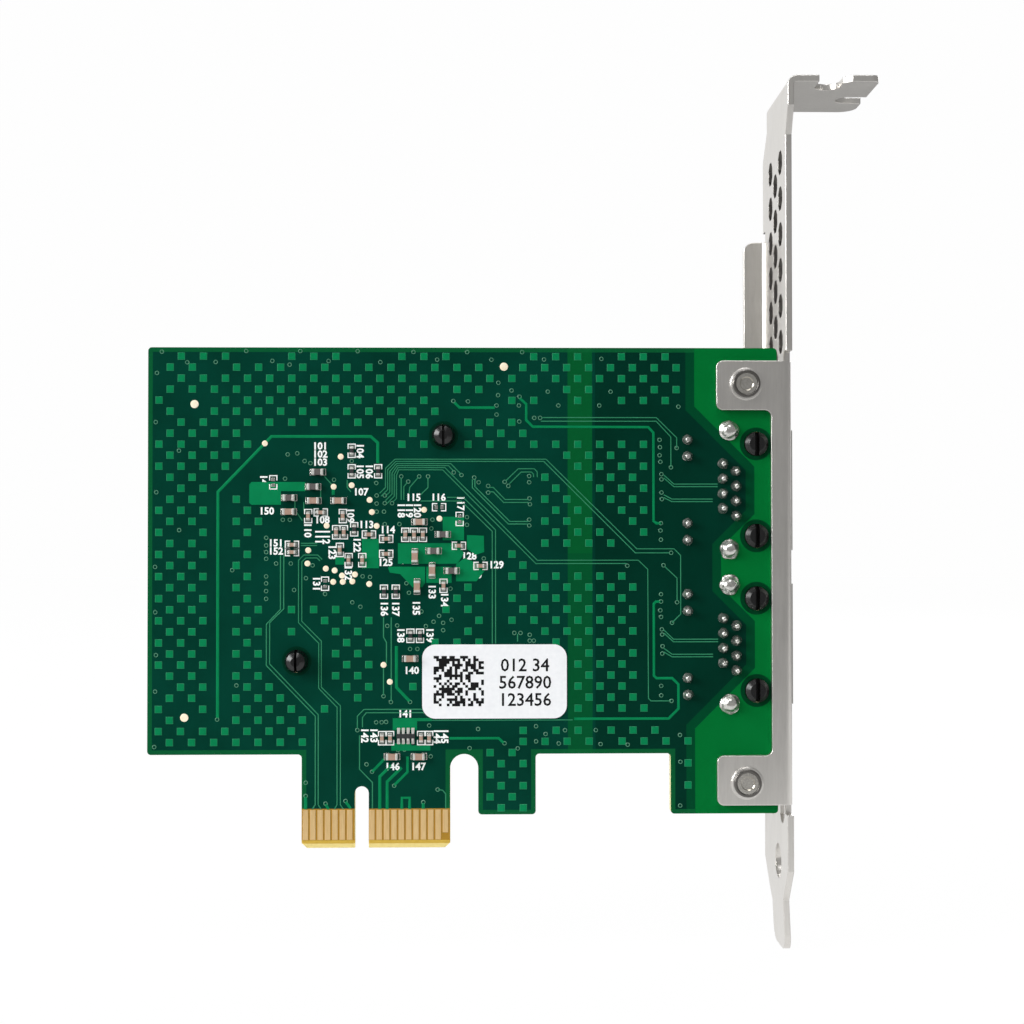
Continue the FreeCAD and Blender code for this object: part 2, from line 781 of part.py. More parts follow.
def make_bracket_screws():
    """Pan-head screws, driven from the component side into the bracket's bosses."""
    screws = []
    tip = bracket_near - dim.boss_height + dim.screw_end_sink
    head_top = component_face + dim.screw_head_height
    for index, (x, z) in enumerate(screw_places):
        screw = Piece("bracket_screw_%d" % (index + 1))
        screw.revolve(x, z, [
            (0, tip + dim.screw_cup_depth),
            (dim.screw_cup_radius - dim.screw_cup_depth / 2, tip + dim.screw_cup_depth),
            (dim.screw_cup_radius, tip),
            (dim.screw_radius, tip),
            (dim.screw_radius, component_face),
            (dim.screw_head_radius, component_face),
            (dim.screw_head_radius, head_top - dim.screw_head_round),
            (dim.screw_head_radius - dim.screw_head_round, head_top),
            (0, head_top),
        ])
        blade = dim.screw_recess_radius
        arm = dim.screw_recess_arm / 2
        recess = [(x - blade, z - arm), (x - arm, z - arm), (x - arm, z - blade),
                  (x + arm, z - blade), (x + arm, z - arm), (x + blade, z - arm),
                  (x + blade, z + arm), (x + arm, z + arm), (x + arm, z + blade),
                  (x - arm, z + blade), (x - arm, z + arm), (x - blade, z + arm)]
        recess_cut = screw.feature("PartDesign::Pocket")
        recess_cut.Profile = screw.sketch("XZ", head_top, [recess])
        recess_cut.Reversed = True
        bind(recess_cut, "Length", dim.screw_head_height * 0.6)
        screw.finish(recess_cut)
        screws.append(screw)
    nodes.append(group("bracket_screws", screws))


# ---------------------------------------------------------------------------
# The jacks: a black moulded housing on two split pegs, eight formed contacts in a comb, two
# indicator lamps with bent leads, and a folded shield with spring fingers over them all.
# ---------------------------------------------------------------------------
def make_jack_shield(name, centre):
    shield = Piece("jack_shield_" + name)
    half = dim.jack_width / 2
    top = component_face + dim.jack_height
    shield.pad("YZ", dim.jack_rear, dim.jack_front,
               rectangle(component_face, centre - half, top, centre + half))
    inner = half - dim.shield_thick
    shield.pocket("XZ", component_face, top - dim.shield_thick,
                  rectangle(dim.jack_rear + dim.shield_thick, centre - inner,
                            dim.jack_front - dim.shield_thick, centre + inner))
    window = inner - dim.window_margin
    shield.pocket("YZ", dim.jack_front - dim.shield_thick - 0.1, dim.jack_front,
                  rectangle(component_face + dim.window_low, centre - window,
                            top - dim.window_margin, centre + window))
    for wall in both_sides(centre, dim.shield_thick / 2):
        shield.pad("XZ", pin_end, component_face + 1, rectangle(
            dim.shield_pin_x - dim.shield_pin_width / 2, wall - dim.shield_thick / 2,
            dim.shield_pin_x + dim.shield_pin_width / 2, wall + dim.shield_thick / 2))

    # Spring fingers that press on the back of the bracket around the port.
    def finger(base, side):
        lift = dim.finger_rise * side
        skin = dim.shield_thick / 2 * side
        return [(dim.finger_start, base - skin), (dim.finger_start + dim.finger_root, base - skin),
                (dim.finger_end, base + lift - 2 * skin), (dim.finger_end, base + lift),
                (dim.finger_start, base)]

    shield.pad("XY", centre - dim.finger_width / 2, centre + dim.finger_width / 2,
               finger(top, 1))
    middle_y = component_face + dim.jack_height / 2
    for side in (-1, 1):
        shield.pad("XZ", middle_y - dim.finger_width / 2, middle_y + dim.finger_width / 2,
                   finger(centre + side * half, side))
    nodes.append(shield.body)


def make_jack_housing(name, centre):
    housing = Piece("jack_housing_" + name)
    skin = dim.shield_thick + dim.shield_gap
    half = dim.jack_width / 2 - skin
    rear = dim.jack_rear + skin
    front = dim.jack_front - skin
    top = component_face + dim.jack_height - skin
    housing.pad("YZ", rear, front, rectangle(component_face, centre - half, top, centre + half))
    pegs = both_sides(centre, dim.peg_inset)
    peg_end = solder_face - dim.peg_reach
    housing.pad("XZ", peg_end, component_face, *[
        Circle(dim.peg_x, z, dim.peg_radius) for z in pegs])
    housing.chamfer(dim.peg_radius * 0.35, *[
        point(dim.peg_x + dim.peg_radius, peg_end, z) for z in pegs])
    half_split = dim.peg_split / 2
    split_end = component_face - dim.peg_root
    housing.pocket("XZ", peg_end, split_end, *[
        rectangle(dim.peg_x - half_split, z - 2 * dim.peg_radius,
                  dim.peg_x + half_split, z + 2 * dim.peg_radius) for z in pegs])

    # The port, its latch keyway, and the comb that keeps the contacts apart.
    floor = component_face + dim.port_floor
    ceiling = floor + dim.port_height
    half_port = dim.port_width / 2
    half_latch = dim.latch_width / 2
    housing.pocket("YZ", front - dim.port_depth, front,
                   rectangle(floor, centre - half_port, ceiling, centre + half_port))
    housing.pocket("YZ", front - dim.latch_depth, front,
                   rectangle(ceiling - 0.1, centre - half_latch,
                             ceiling + dim.latch_height, centre + half_latch))
    lowest = centre - dim.jack_pin_pitch * 3.5
    half_slot = dim.comb_width / 2
    comb = housing.pocket("XY", lowest - half_slot, lowest + half_slot,
                          rectangle(dim.jack_pin_row_a - half_slot,
                                    component_face + dim.comb_floor,
                                    dim.comb_front, floor + 0.1))
    housing.repeat(comb, "Z", dim.jack_pin_pitch, 8)
    tails = jack_pins(centre)
    housing.pocket("XZ", component_face, component_face + dim.comb_floor + 0.1, *[
        rectangle(row[0][0] - half_slot, row[-1][1] - half_slot,
                  row[0][0] + half_slot, row[0][1] + half_slot)
        for row in (tails[0::2], tails[1::2])])

    # The channels for the lamps, open at the front and down to the lamp pins.
    lamp_low = component_face + dim.led_low - dim.led_margin
    lamp_high = component_face + dim.led_low + dim.led_height + dim.led_margin
    lamp_half = dim.led_width / 2 + dim.led_margin
    lamps = both_sides(centre, dim.led_inset)
    housing.pocket("YZ", dim.led_pin_x - dim.led_lead, front, *[
        rectangle(lamp_low, z - lamp_half, lamp_high, z + lamp_half) for z in lamps])
    housing.pocket("XZ", component_face, lamp_low + 0.1, *[
        rectangle(dim.led_pin_x - dim.led_lead, z - lamp_half,
                  dim.led_pin_x + dim.led_lead, z + lamp_half) for z in lamps])
    nodes.append(housing.body)


def make_jack_contacts(name, centre):
    """Eight wires, each a solder tail, a run along the floor and a spring turned back over it."""
    contacts = Piece("jack_contacts_" + name)
    wire = dim.contact_wire / 2
    level = component_face + dim.wire_level
    tip_level = component_face + dim.wire_tip_level
    half = dim.contact_wire_width / 2
    for row, first in ((dim.jack_pin_row_b, -3.5), (dim.jack_pin_row_a, -2.5)):
        z = centre + dim.jack_pin_pitch * first
        contact = contacts.pad("XY", z - half, z + half, [
            (row - wire, pin_end),
            (row + wire, pin_end),
            (row + wire, level - wire),
            (dim.wire_turn_x + wire, level - wire),
            (dim.wire_turn_x + 2 * wire, level),
            (dim.wire_turn_x + 2 * wire, level + wire * 1.5),
            (dim.wire_tip_x, tip_level + wire),
            (dim.wire_tip_x, tip_level - wire * 1.3),
            (dim.wire_turn_x - wire, level + wire),
            (row - wire, level + wire),
        ])
        contacts.repeat(contact, "Z", dim.jack_pin_pitch * 2, 4)
    nodes.append(contacts.body)


def make_jack_leds(name, centre):
    low = component_face + dim.led_low
    half_lamp = dim.led_width / 2
    lamps = Piece("jack_leds_" + name)
    lamps.pad("YZ", dim.led_rear, dim.jack_front - dim.shield_gap, *[
        rectangle(low, z - half_lamp, low + dim.led_height, z + half_lamp)
        for z in both_sides(centre, dim.led_inset)])
    nodes.append(lamps.body)

    leads = Piece("jack_led_leads_" + name)
    half = dim.led_lead / 2
    level = low + dim.led_height / 2
    for x, z in led_pins(centre):
        leads.pad("XY", z - half, z + half, [
            (x - half, pin_end), (x + half, pin_end), (x + half, level - half),
            (dim.led_rear, level - half), (dim.led_rear, level + half), (x - half, level + half)])
    nodes.append(leads.body)


# ---------------------------------------------------------------------------
# Moulded packages that stand on formed leads.
# ---------------------------------------------------------------------------
def package(label, x, z, width, length, height):
    """A moulded body a little above the board, with a dimple that marks its first lead."""
    body = Piece(label)
    low = component_face + dim.package_standoff
    high = low + height
    body.pad("XZ", low, high, rectangle(x - width / 2, z - length / 2,
                                        x + width / 2, z + length / 2))
    body.chamfer(dim.package_chamfer, *[point(x + dx, high, z + dz) for dx, dz in (
        (width / 2, 0), (-width / 2, 0), (0, length / 2), (0, -length / 2))])
    dimple = body.feature("PartDesign::Pocket")
    dimple.Profile = body.sketch("XZ", high, [
        Circle(x - width / 2 + dim.dimple_inset, z + length / 2 - dim.dimple_inset,
               dim.dimple_radius)])
    dimple.Reversed = True
    bind(dimple, "Length", dim.dimple_depth)
    body.finish(dimple)
    return body


def gull_wings(leads, side, x, z, width, exit_level, lead_width, pitch, count):
    """A row of leads that leave a body's side, drop, and turn out into a foot on the board."""
    thick = dim.lead_thick
    wall = x + side * width / 2
    knee = wall + side * dim.lead_reach
    exit_high = component_face + exit_level + thick / 2
    first = z - pitch * (as_size(count) - 1) / 2
    lead = leads.pad("XY", first - lead_width / 2, first + lead_width / 2, [
        (wall, exit_high),
        (knee, exit_high),
        (knee, component_face + thick),
        (knee + side * dim.lead_foot, component_face + thick),
        (knee + side * dim.lead_foot, component_face),
        (knee - side * thick, component_face),
        (knee - side * thick, exit_high - thick),
        (wall, exit_high - thick),
    ])
    if number(count) > 1:
        leads.repeat(lead, "Z", pitch, count)


def make_transformer(name, centre):
    body = package("transformer_" + name, dim.transformer_x, centre, dim.transformer_width,
                   dim.transformer_length, dim.transformer_height)
    nodes.append(body.body)
    leads = Piece("transformer_leads_" + name)
    for side in (-1, 1):
        gull_wings(leads, side, dim.transformer_x, centre, dim.transformer_width,
                   dim.transformer_lead_exit, dim.package_lead_width,
                   dim.package_lead_pitch, dim.transformer_lead_count)
    nodes.append(leads.body)


def make_memory():
    body = package("flash_memory", dim.memory_x, dim.memory_z, dim.memory_width,
                   dim.memory_length, dim.memory_height)
    nodes.append(body.body)
    leads = Piece("flash_memory_leads")
    for side in (-1, 1):
        gull_wings(leads, side, dim.memory_x, dim.memory_z, dim.memory_width,
                   dim.memory_height / 2, dim.package_lead_width,
                   dim.package_lead_pitch, dim.memory_lead_count)
    nodes.append(leads.body)


def make_regulators():
    """Two regulators, each with three leads on one side and a heat tab on the other."""
    places = ((dim.regulator_1_x, dim.regulator_1_z), (dim.regulator_2_x, dim.regulator_2_z))
    bodies = []
    leads = Piece("regulator_leads")
    for index, (x, z) in enumerate(places):
        bodies.append(package("voltage_regulator_%d" % (index + 1), x, z, dim.regulator_width,
                              dim.regulator_length, dim.regulator_height))
        gull_wings(leads, -1, x, z, dim.regulator_width, dim.regulator_height / 2,
                   dim.regulator_lead_width, dim.regulator_pitch, 3)
        gull_wings(leads, 1, x, z, dim.regulator_width, dim.regulator_height / 2,
                   dim.regulator_tab_width, dim.regulator_pitch, 1)
    nodes.append(group("voltage_regulators", bodies))
    nodes.append(leads.body)


# ---------------------------------------------------------------------------
# The controller, soldered by a ring of balls, and the heat sink that two sprung push pins
# hold down on it.
# ---------------------------------------------------------------------------
def make_controller():
    x, z = dim.controller_x, dim.controller_z
    balls = Piece("controller_solder_balls")
    count = dim.ball_ring
    reach = dim.ball_pitch * (count - 1) / 2
    inner = z - reach + dim.ball_pitch
    for axis, u, v, length in (("X", x - reach, z - reach, count),
                               ("X", x - reach, z + reach, count),
                               ("Z", x - reach, inner, count - 2),
                               ("Z", x + reach, inner, count - 2)):
        ball = balls.pad("XZ", component_face, component_face + dim.ball_height,
                         regular(4, u, v, dim.ball_radius))
        balls.repeat(ball, axis, dim.ball_pitch, length)
    nodes.append(balls.body)

    chip = Piece("controller_chip")
    base = component_face + dim.ball_height
    half = dim.controller_size / 2
    mould = dim.mould_size / 2
    chip.pad("XZ", base, base + dim.substrate_thick,
             rectangle(x - half, z - half, x + half, z + half))
    top = base + dim.substrate_thick + dim.mould_thick
    chip.pad("XZ", base + dim.substrate_thick, top,
             rectangle(x - mould, z - mould, x + mould, z + mould))
    nodes.append(chip.body)

    pad = Piece("thermal_pad")
    half = dim.thermal_pad_size / 2
    pad.pad("XZ", top, top + dim.thermal_pad_thick,
            rectangle(x - half, z - half, x + half, z + half))
    nodes.append(pad.body)
    make_heat_sink(top + dim.thermal_pad_thick)
    make_push_pins(top + dim.thermal_pad_thick + dim.sink_base)


def make_heat_sink(low):
    x, z = dim.controller_x, dim.controller_z
    sink = Piece("heat_sink")
    high = low + dim.sink_base
    half_width = dim.sink_width / 2
    half_length = dim.sink_length / 2
    half_ear = dim.sink_ear_width / 2
    sink.pad("XZ", low, high, rectangle(x - half_width, z - half_length,
                                        x + half_width, z + half_length))
    for pin_x, pin_z in push_pin_places:
        sink.pad("XZ", low, high, rectangle(pin_x - half_ear, z, pin_x + half_ear, pin_z)
                 if number(pin_z) > number(z) else
                 rectangle(pin_x - half_ear, pin_z, pin_x + half_ear, z))
        sink.pad("XZ", low, high, Circle(pin_x, pin_z, half_ear))
    sink.pocket("XZ", low, high, *[Circle(pin_x, pin_z, dim.push_pin_hole)
                                   for pin_x, pin_z in push_pin_places])
    fin = sink.pad("XZ", high, high + dim.fin_height,
                   rectangle(x - half_width, z - half_length,
                             x - half_width + dim.fin_thick, z + half_length))
    sink.repeat(fin, "X", (dim.sink_width - dim.fin_thick) / (dim.fin_count - 1), dim.fin_count)
    nodes.append(sink.body)


def coil_spring(x, z, low):
    """A coil about a line along Y, swept along six straight chords a turn."""
    wire = number(dim.spring_wire)
    radius = number(dim.spring_radius)
    rise = number(dim.spring_height) - 2 * wire - 0.1
    steps = round(6 * rise / number(dim.spring_pitch))
    bottom = point(x, low, z) + Vector(0, wire + 0.05, 0)
    path = []
    for step in range(steps + 1):
        turn = math.radians(60 * step)
        path.append(bottom + Vector(radius * math.cos(turn), rise * step / steps,
                                    radius * math.sin(turn)))
    start = path[0]
    section = Part.makePolygon([start + Vector(dx * wire, dy * wire, 0)
                                for dx, dy in ((1, 0), (0, 1), (-1, 0), (0, -1), (1, 0))])
    right_corners = 1
    return Part.makePolygon(path).makePipeShell([section], True, False, right_corners)


def make_push_pins(ear_top):
    """Split nylon pins: barbed under the board, with a spring between the head and the ear."""
    pins, springs = [], []
    head_low = ear_top + dim.spring_height
    head_high = head_low + dim.push_pin_head_height
    for index, (x, z) in enumerate(push_pin_places):
        pin = Piece("push_pin_%d" % (index + 1))
        pin.revolve(x, z, [
            (0, solder_face - dim.push_pin_tip),
            (dim.push_pin_barb * 0.4, solder_face - dim.push_pin_tip),
            (dim.push_pin_barb * 0.8, solder_face - dim.push_pin_tip * 0.8),
            (dim.push_pin_barb, solder_face - dim.push_pin_tip * 0.45),
            (dim.push_pin_barb, solder_face - dim.push_pin_shoulder),
            (dim.push_pin_radius, solder_face - dim.push_pin_shoulder),
            (dim.push_pin_radius, head_low),
            (dim.push_pin_head, head_low),
            (dim.push_pin_head, head_high - dim.push_pin_head_round),
            (dim.push_pin_head - dim.push_pin_head_round, head_high),
            (0, head_high),
        ])
        half = dim.push_pin_slot / 2
        pin.pocket("XZ", solder_face - dim.push_pin_tip, component_face,
                   rectangle(x - half, z - dim.push_pin_head, x + half, z + dim.push_pin_head))
        pins.append(pin)

        springs.append(coil_spring(x, z, ear_top))
    nodes.append(group("push_pins", pins))
    node = doc.addObject("Part::Feature", "push_pin_springs")
    node.Shape = Part.makeCompound(springs)
    node.Label = "push_pin_springs"
    nodes.append(node)


# ---------------------------------------------------------------------------
# The rest of the component side.
# ---------------------------------------------------------------------------
def make_crystal():
    crystal = Piece("crystal")
    x, z = dim.crystal_x, dim.crystal_z
    half_width = dim.crystal_width / 2
    half_length = dim.crystal_length / 2
    low = component_face
    step = low + dim.crystal_flange
    crystal.pad("XZ", low, step, rectangle(x - half_width, z - half_length,
                                           x + half_width, z + half_length))
    can_width = half_width - dim.crystal_inset
    can_length = half_length - dim.crystal_inset
    crystal.pad("XZ", step, low + dim.crystal_height,
                rectangle(x - can_width, z - can_length, x + can_width, z + can_length))
    middle = (step + low + dim.crystal_height) / 2
    crystal.fillet(can_width - dim.crystal_flat, *[
        point(x + side * can_width, middle, z + end * can_length)
        for side in (-1, 1) for end in (-1, 1)])
    crystal.fillet(half_width - dim.crystal_flat, *[
        point(x + side * half_width, low + dim.crystal_flange / 2, z + end * half_length)
        for side in (-1, 1) for end in (-1, 1)])
    nodes.append(crystal.body)


def make_inductor():
    x, z = dim.inductor_x, dim.inductor_z
    half = dim.inductor_size / 2
    inductor = Piece("power_inductor")
    high = component_face + dim.inductor_height
    inductor.pad("XZ", component_face, high, rectangle(x - half, z - half, x + half, z + half))
    middle = component_face + dim.inductor_height / 2
    inductor.chamfer(dim.inductor_corner, *[point(x + side * half, middle, z + end * half)
                                            for side in (-1, 1) for end in (-1, 1)])
    groove = inductor.feature("PartDesign::Pocket")
    groove.Profile = inductor.sketch("XZ", high, [
        Circle(x, z, dim.groove_outer), Circle(x, z, dim.groove_inner)])
    groove.Reversed = True
    bind(groove, "Length", dim.groove_depth)
    inductor.finish(groove)
    nodes.append(inductor.body)


def make_bulk_capacitors():
    """Moulded tantalum capacitors, each with a chamfered positive end."""
    capacitors = []
    half_width = dim.bulk_width / 2
    half_length = dim.bulk_length / 2
    for index, (x, z) in enumerate(((2.5, 22.5), (20.5, 61.5), (-12.5, 60.5), (-14.5, 22.5))):
        x, z = as_size(x), as_size(z)
        capacitor = Piece("bulk_capacitor_%d" % (index + 1))
        high = component_face + dim.bulk_height
        capacitor.pad("XZ", component_face, high, rectangle(
            x - half_width, z - half_length, x + half_width, z + half_length))
        capacitor.chamfer(dim.bulk_chamfer, point(x, high, z + half_length))
        capacitors.append(capacitor)
    nodes.append(group("bulk_capacitors", capacitors))


# ---------------------------------------------------------------------------
# Chip parts. One of each kind is built at the origin, on a board face that points up, and
# copies of it are set down where the assembly machine would place them.
# ---------------------------------------------------------------------------
def chip_master(name, length, width, height):
    """One ceramic block with its length along X, centred on the origin and standing on it."""
    block = doc.addObject("Part::Box", name)
    bind(block, "Length", length)
    bind(block, "Width", width)
    bind(block, "Height", height)
    bind(block, "Placement.Base.x", -length / 2)
    bind(block, "Placement.Base.y", -width / 2)
    doc.recompute()
    return block


def place_chips(label, placements):
    """placements: (master, x, z, turn) with the turn in degrees from the X axis."""
    face_turns = {
        "rear": FreeCAD.Rotation(Vector(1, 0, 0), 90),
        "front": FreeCAD.Rotation(Vector(1, 0, 0), -90),
    }
    side = label.split("_")[0]
    face = solder_face if side == "rear" else component_face
    copies = []
    for master, x, z, turn in placements:
        about_y = FreeCAD.Rotation(Vector(0, 1, 0), turn)
        place = FreeCAD.Placement(point(x, face, z), about_y * face_turns[side])
        copy = master.Shape.copy()
        copy.Placement = place.multiply(master.Placement)
        copies.append(copy)
    node = doc.addObject("Part::Feature", label)
    node.Shape = Part.makeCompound(copies)
    node.Label = label
    nodes.append(node)


def make_chips():
    large = chip_master("large_chip", dim.large_chip_length, dim.large_chip_width,
                        dim.large_chip_height)
    small = chip_master("small_chip", dim.small_chip_length, dim.small_chip_width,
                        dim.small_chip_height)
    resistor = chip_master("small_resistor", dim.small_chip_length, dim.small_chip_width,
                           dim.resistor_height)
    along, upright = 0, 90

    place_chips("rear_capacitors", [
        (large, x, z, along) for x, z in ((-6.6, 47.2), (-3.2, 47.2), (-9.95, 45.7),
                                          (7.8, 44.3), (6.55, 25.7), (4.1, 12.4), (7.75, 12.4))
    ] + [
        (large, x, z, upright) for x, z in ((7.2, 39.6), (9.55, 37.7), (7.5, 35.5))
    ] + [
        (small, x, z, along) for x, z in ((-5.6, 45.6), (0.95, 42.6), (3.3, 42.0), (3.3, 39.95),
                                          (-9.5, 41.2), (-9.5, 40.2), (13.2, 41.05), (16.15, 38.3))
    ] + [
        (small, x, z, upright) for x, z in (
            (-7.3, 45.1), (-2.6, 45.1), (-3.5, 42.9), (-2.45, 42.9), (-3.0, 40.5), (-1.8, 39.1),
            (0.05, 39.1), (5.9, 42.55), (7.1, 42.55), (8.3, 42.55), (11.1, 35.6),
            (2.75, 14.9), (3.85, 14.9), (8.05, 14.9), (9.15, 14.9))
    ])
    place_chips("rear_resistors", [
        (resistor, x, z, upright) for x, z in (
            (-1.4, 54.0), (-1.4, 51.2), (2.2, 51.2), (-1.05, 43.3), (3.0, 34.8), (4.6, 34.8),
            (6.6, 28.8), (7.9, 28.8))])
    place_chips("rear_ferrite_beads", [
        (large, x, z, along) for x, z in ((-6.0, 51.1), (-6.65, 49.1), (-9.9, 47.6),
                                          (11.0, 42.6), (9.75, 40.35), (12.2, 37.65))])

    beside_controller = [(small, x, 34.0 + 3.4 * row, along)
                         for x in (-9.0, 11.5) for row in range(5)]
    beside_transformers = [(large, 38.6, z, upright) for z in (22.5, 32.5, 43.5, 53.5)]
    above_contacts = [(small, x, 8.6, upright) for x in (2.4, 3.4, 5.4, 6.4)]
    beside_regulators = [(large, x, z, upright) for x, z in (
        (-14.5, 56.0), (-26.3, 54.5), (1.5, 61.5), (-26.3, 21.0), (-16.0, 29.0), (13.5, 64.5))]
    place_chips("front_capacitors",
                beside_controller + beside_transformers + above_contacts + beside_regulators)
    near_memory = [(resistor, -17.3, 45.5 + 1.3 * row, along) for row in range(4)]
    near_crystal = [(resistor, -17.3, z, upright) for z in (33.5, 38.5)]
    near_lamps = [(resistor, 39.6, z, along) for z in (18.0, 36.6, 39.0, 59.0)]
    near_transformers = [(resistor, 21.5, dim.jack_lower_z + offset, along)
                         for offset in (-4, 4)]
    near_transformers += [(resistor, 21.5, dim.jack_upper_z + offset, along)
                          for offset in (-4, 4)]
    place_chips("front_resistors", near_memory + near_crystal + near_lamps + near_transformers)


def make_resistor_array():
    """Four resistors in one ceramic block, with four plated pads down each long side."""
    x, z = dim.array_x, dim.array_z
    array = Piece("rear_resistor_array")
    high = solder_face
    low = solder_face - dim.array_height
    half_length = dim.array_length / 2
    half_width = dim.array_width / 2
    ceramic_width = half_width - dim.array_groove
    array.pad("XZ", low, high, rectangle(x - half_length, z - ceramic_width,
                                         x + half_length, z + ceramic_width))
    first = x - dim.array_pitch * 1.5
    half_pad = dim.array_pad / 2
    for edge in (z - half_width, z + half_width - dim.array_pad_depth):
        pad = array.pad("XZ", low - dim.array_pad_proud, high, rectangle(
            first - half_pad, edge, first + half_pad, edge + dim.array_pad_depth))
        array.repeat(pad, "X", dim.array_pitch, 4)
    nodes.append(array.body)


def make_label():
    label = Piece("label")
    label.pad("XZ", solder_face - dim.label_thick, solder_face,
              rectangle(dim.label_left, dim.label_low, dim.label_right, dim.label_high))
    middle = solder_face - dim.label_thick / 2
    label.fillet(dim.label_corner, *[point(x, middle, z)
                                     for x in (dim.label_left, dim.label_right)
                                     for z in (dim.label_low, dim.label_high)])
    nodes.append(label.body)


make_circuit_board()
make_edge_contacts("edge_contacts_rear", solder_face - dim.contact_thick, solder_face)
make_edge_contacts("edge_contacts_front", component_face, component_face + dim.contact_thick)
make_bracket()
make_bracket_screws()
for name, centre in jack_centres.items():
    make_jack_shield(name, centre)
    make_jack_housing(name, centre)
    make_jack_contacts(name, centre)
    make_jack_leds(name, centre)
    make_transformer(name, centre)
make_controller()
make_crystal()
make_memory()
make_regulators()
make_inductor()
make_bulk_capacitors()
make_chips()
make_resistor_array()
make_label()

doc.recompute()
for item in doc.Objects:
    if "Invalid" in item.State or "Error" in item.State:
        raise RuntimeError("%s is %s" % (item.Label, item.State))
os.makedirs("parts", exist_ok=True)
for node in nodes:
    if node.Shape.isNull() or not node.Shape.isValid() or not node.Shape.Solids:
        raise RuntimeError("%s has no valid solid" % node.Label)
    node.Shape.exportStep(os.path.join("parts", node.Label + ".step"))
    print("%-26s %3d solids %9.2f mm3" % (node.Label, len(node.Shape.Solids), node.Shape.Volume))
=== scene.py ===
import functools
import math
import random

import bmesh
import bpy
from mathutils import Matrix, Vector


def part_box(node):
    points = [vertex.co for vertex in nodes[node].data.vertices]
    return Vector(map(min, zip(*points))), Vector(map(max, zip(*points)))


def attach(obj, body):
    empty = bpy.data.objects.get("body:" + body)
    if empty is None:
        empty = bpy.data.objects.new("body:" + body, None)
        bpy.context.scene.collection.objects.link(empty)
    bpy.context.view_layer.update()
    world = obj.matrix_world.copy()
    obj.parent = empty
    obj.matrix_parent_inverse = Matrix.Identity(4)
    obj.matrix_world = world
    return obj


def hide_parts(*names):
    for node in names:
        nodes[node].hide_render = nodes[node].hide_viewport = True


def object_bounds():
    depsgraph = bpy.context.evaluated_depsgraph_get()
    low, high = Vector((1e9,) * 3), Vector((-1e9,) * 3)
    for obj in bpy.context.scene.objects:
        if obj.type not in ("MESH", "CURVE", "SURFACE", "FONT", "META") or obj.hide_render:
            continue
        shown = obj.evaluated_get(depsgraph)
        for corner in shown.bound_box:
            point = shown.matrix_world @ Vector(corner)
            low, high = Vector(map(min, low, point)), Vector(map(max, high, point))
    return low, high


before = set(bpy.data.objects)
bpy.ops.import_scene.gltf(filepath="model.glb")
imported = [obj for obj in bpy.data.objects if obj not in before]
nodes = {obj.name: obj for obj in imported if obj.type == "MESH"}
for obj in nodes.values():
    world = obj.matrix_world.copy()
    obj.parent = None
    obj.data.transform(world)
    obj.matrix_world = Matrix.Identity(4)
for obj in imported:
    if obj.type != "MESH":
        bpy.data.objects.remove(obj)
cad_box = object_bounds()
MM = 0.001


# The circuit board: one routed sheet of woven glass and epoxy with green solder mask on both
# faces. The mask looks dark over bare laminate and bright over copper. The routed edges and
# the card edge's bevel show the cream laminate itself.
def worked_by(operation):
    """An operator of a value, carried out by a Math node."""
    return lambda value, *others: value.maths(operation, *others)


class Value:
    """One socket of a finish. A sum written with it becomes Math nodes."""

    def __init__(self, finish, socket):
        self.finish = finish
        self.socket = socket

    def maths(self, operation, *others):
        values = dict(enumerate((self,) + others))
        return self.finish.node("ShaderNodeMath", {"operation": operation}, values)

    __add__ = __radd__ = worked_by("ADD")
    __sub__ = worked_by("SUBTRACT")
    __mul__ = __rmul__ = worked_by("MULTIPLY")
    __abs__ = worked_by("ABSOLUTE")
    __gt__ = worked_by("GREATER_THAN")
    __lt__ = worked_by("LESS_THAN")
    __and__ = worked_by("MINIMUM")
    __or__ = worked_by("MAXIMUM")

    def __rsub__(self, other):
        return self * -1 + other


def any_of(masks):
    """The mask that holds wherever one of several does."""
    return functools.reduce(lambda first, second: first | second, masks)


def squared(across, up):
    """The square of the distance from a line along Y."""
    return across * across + up * up


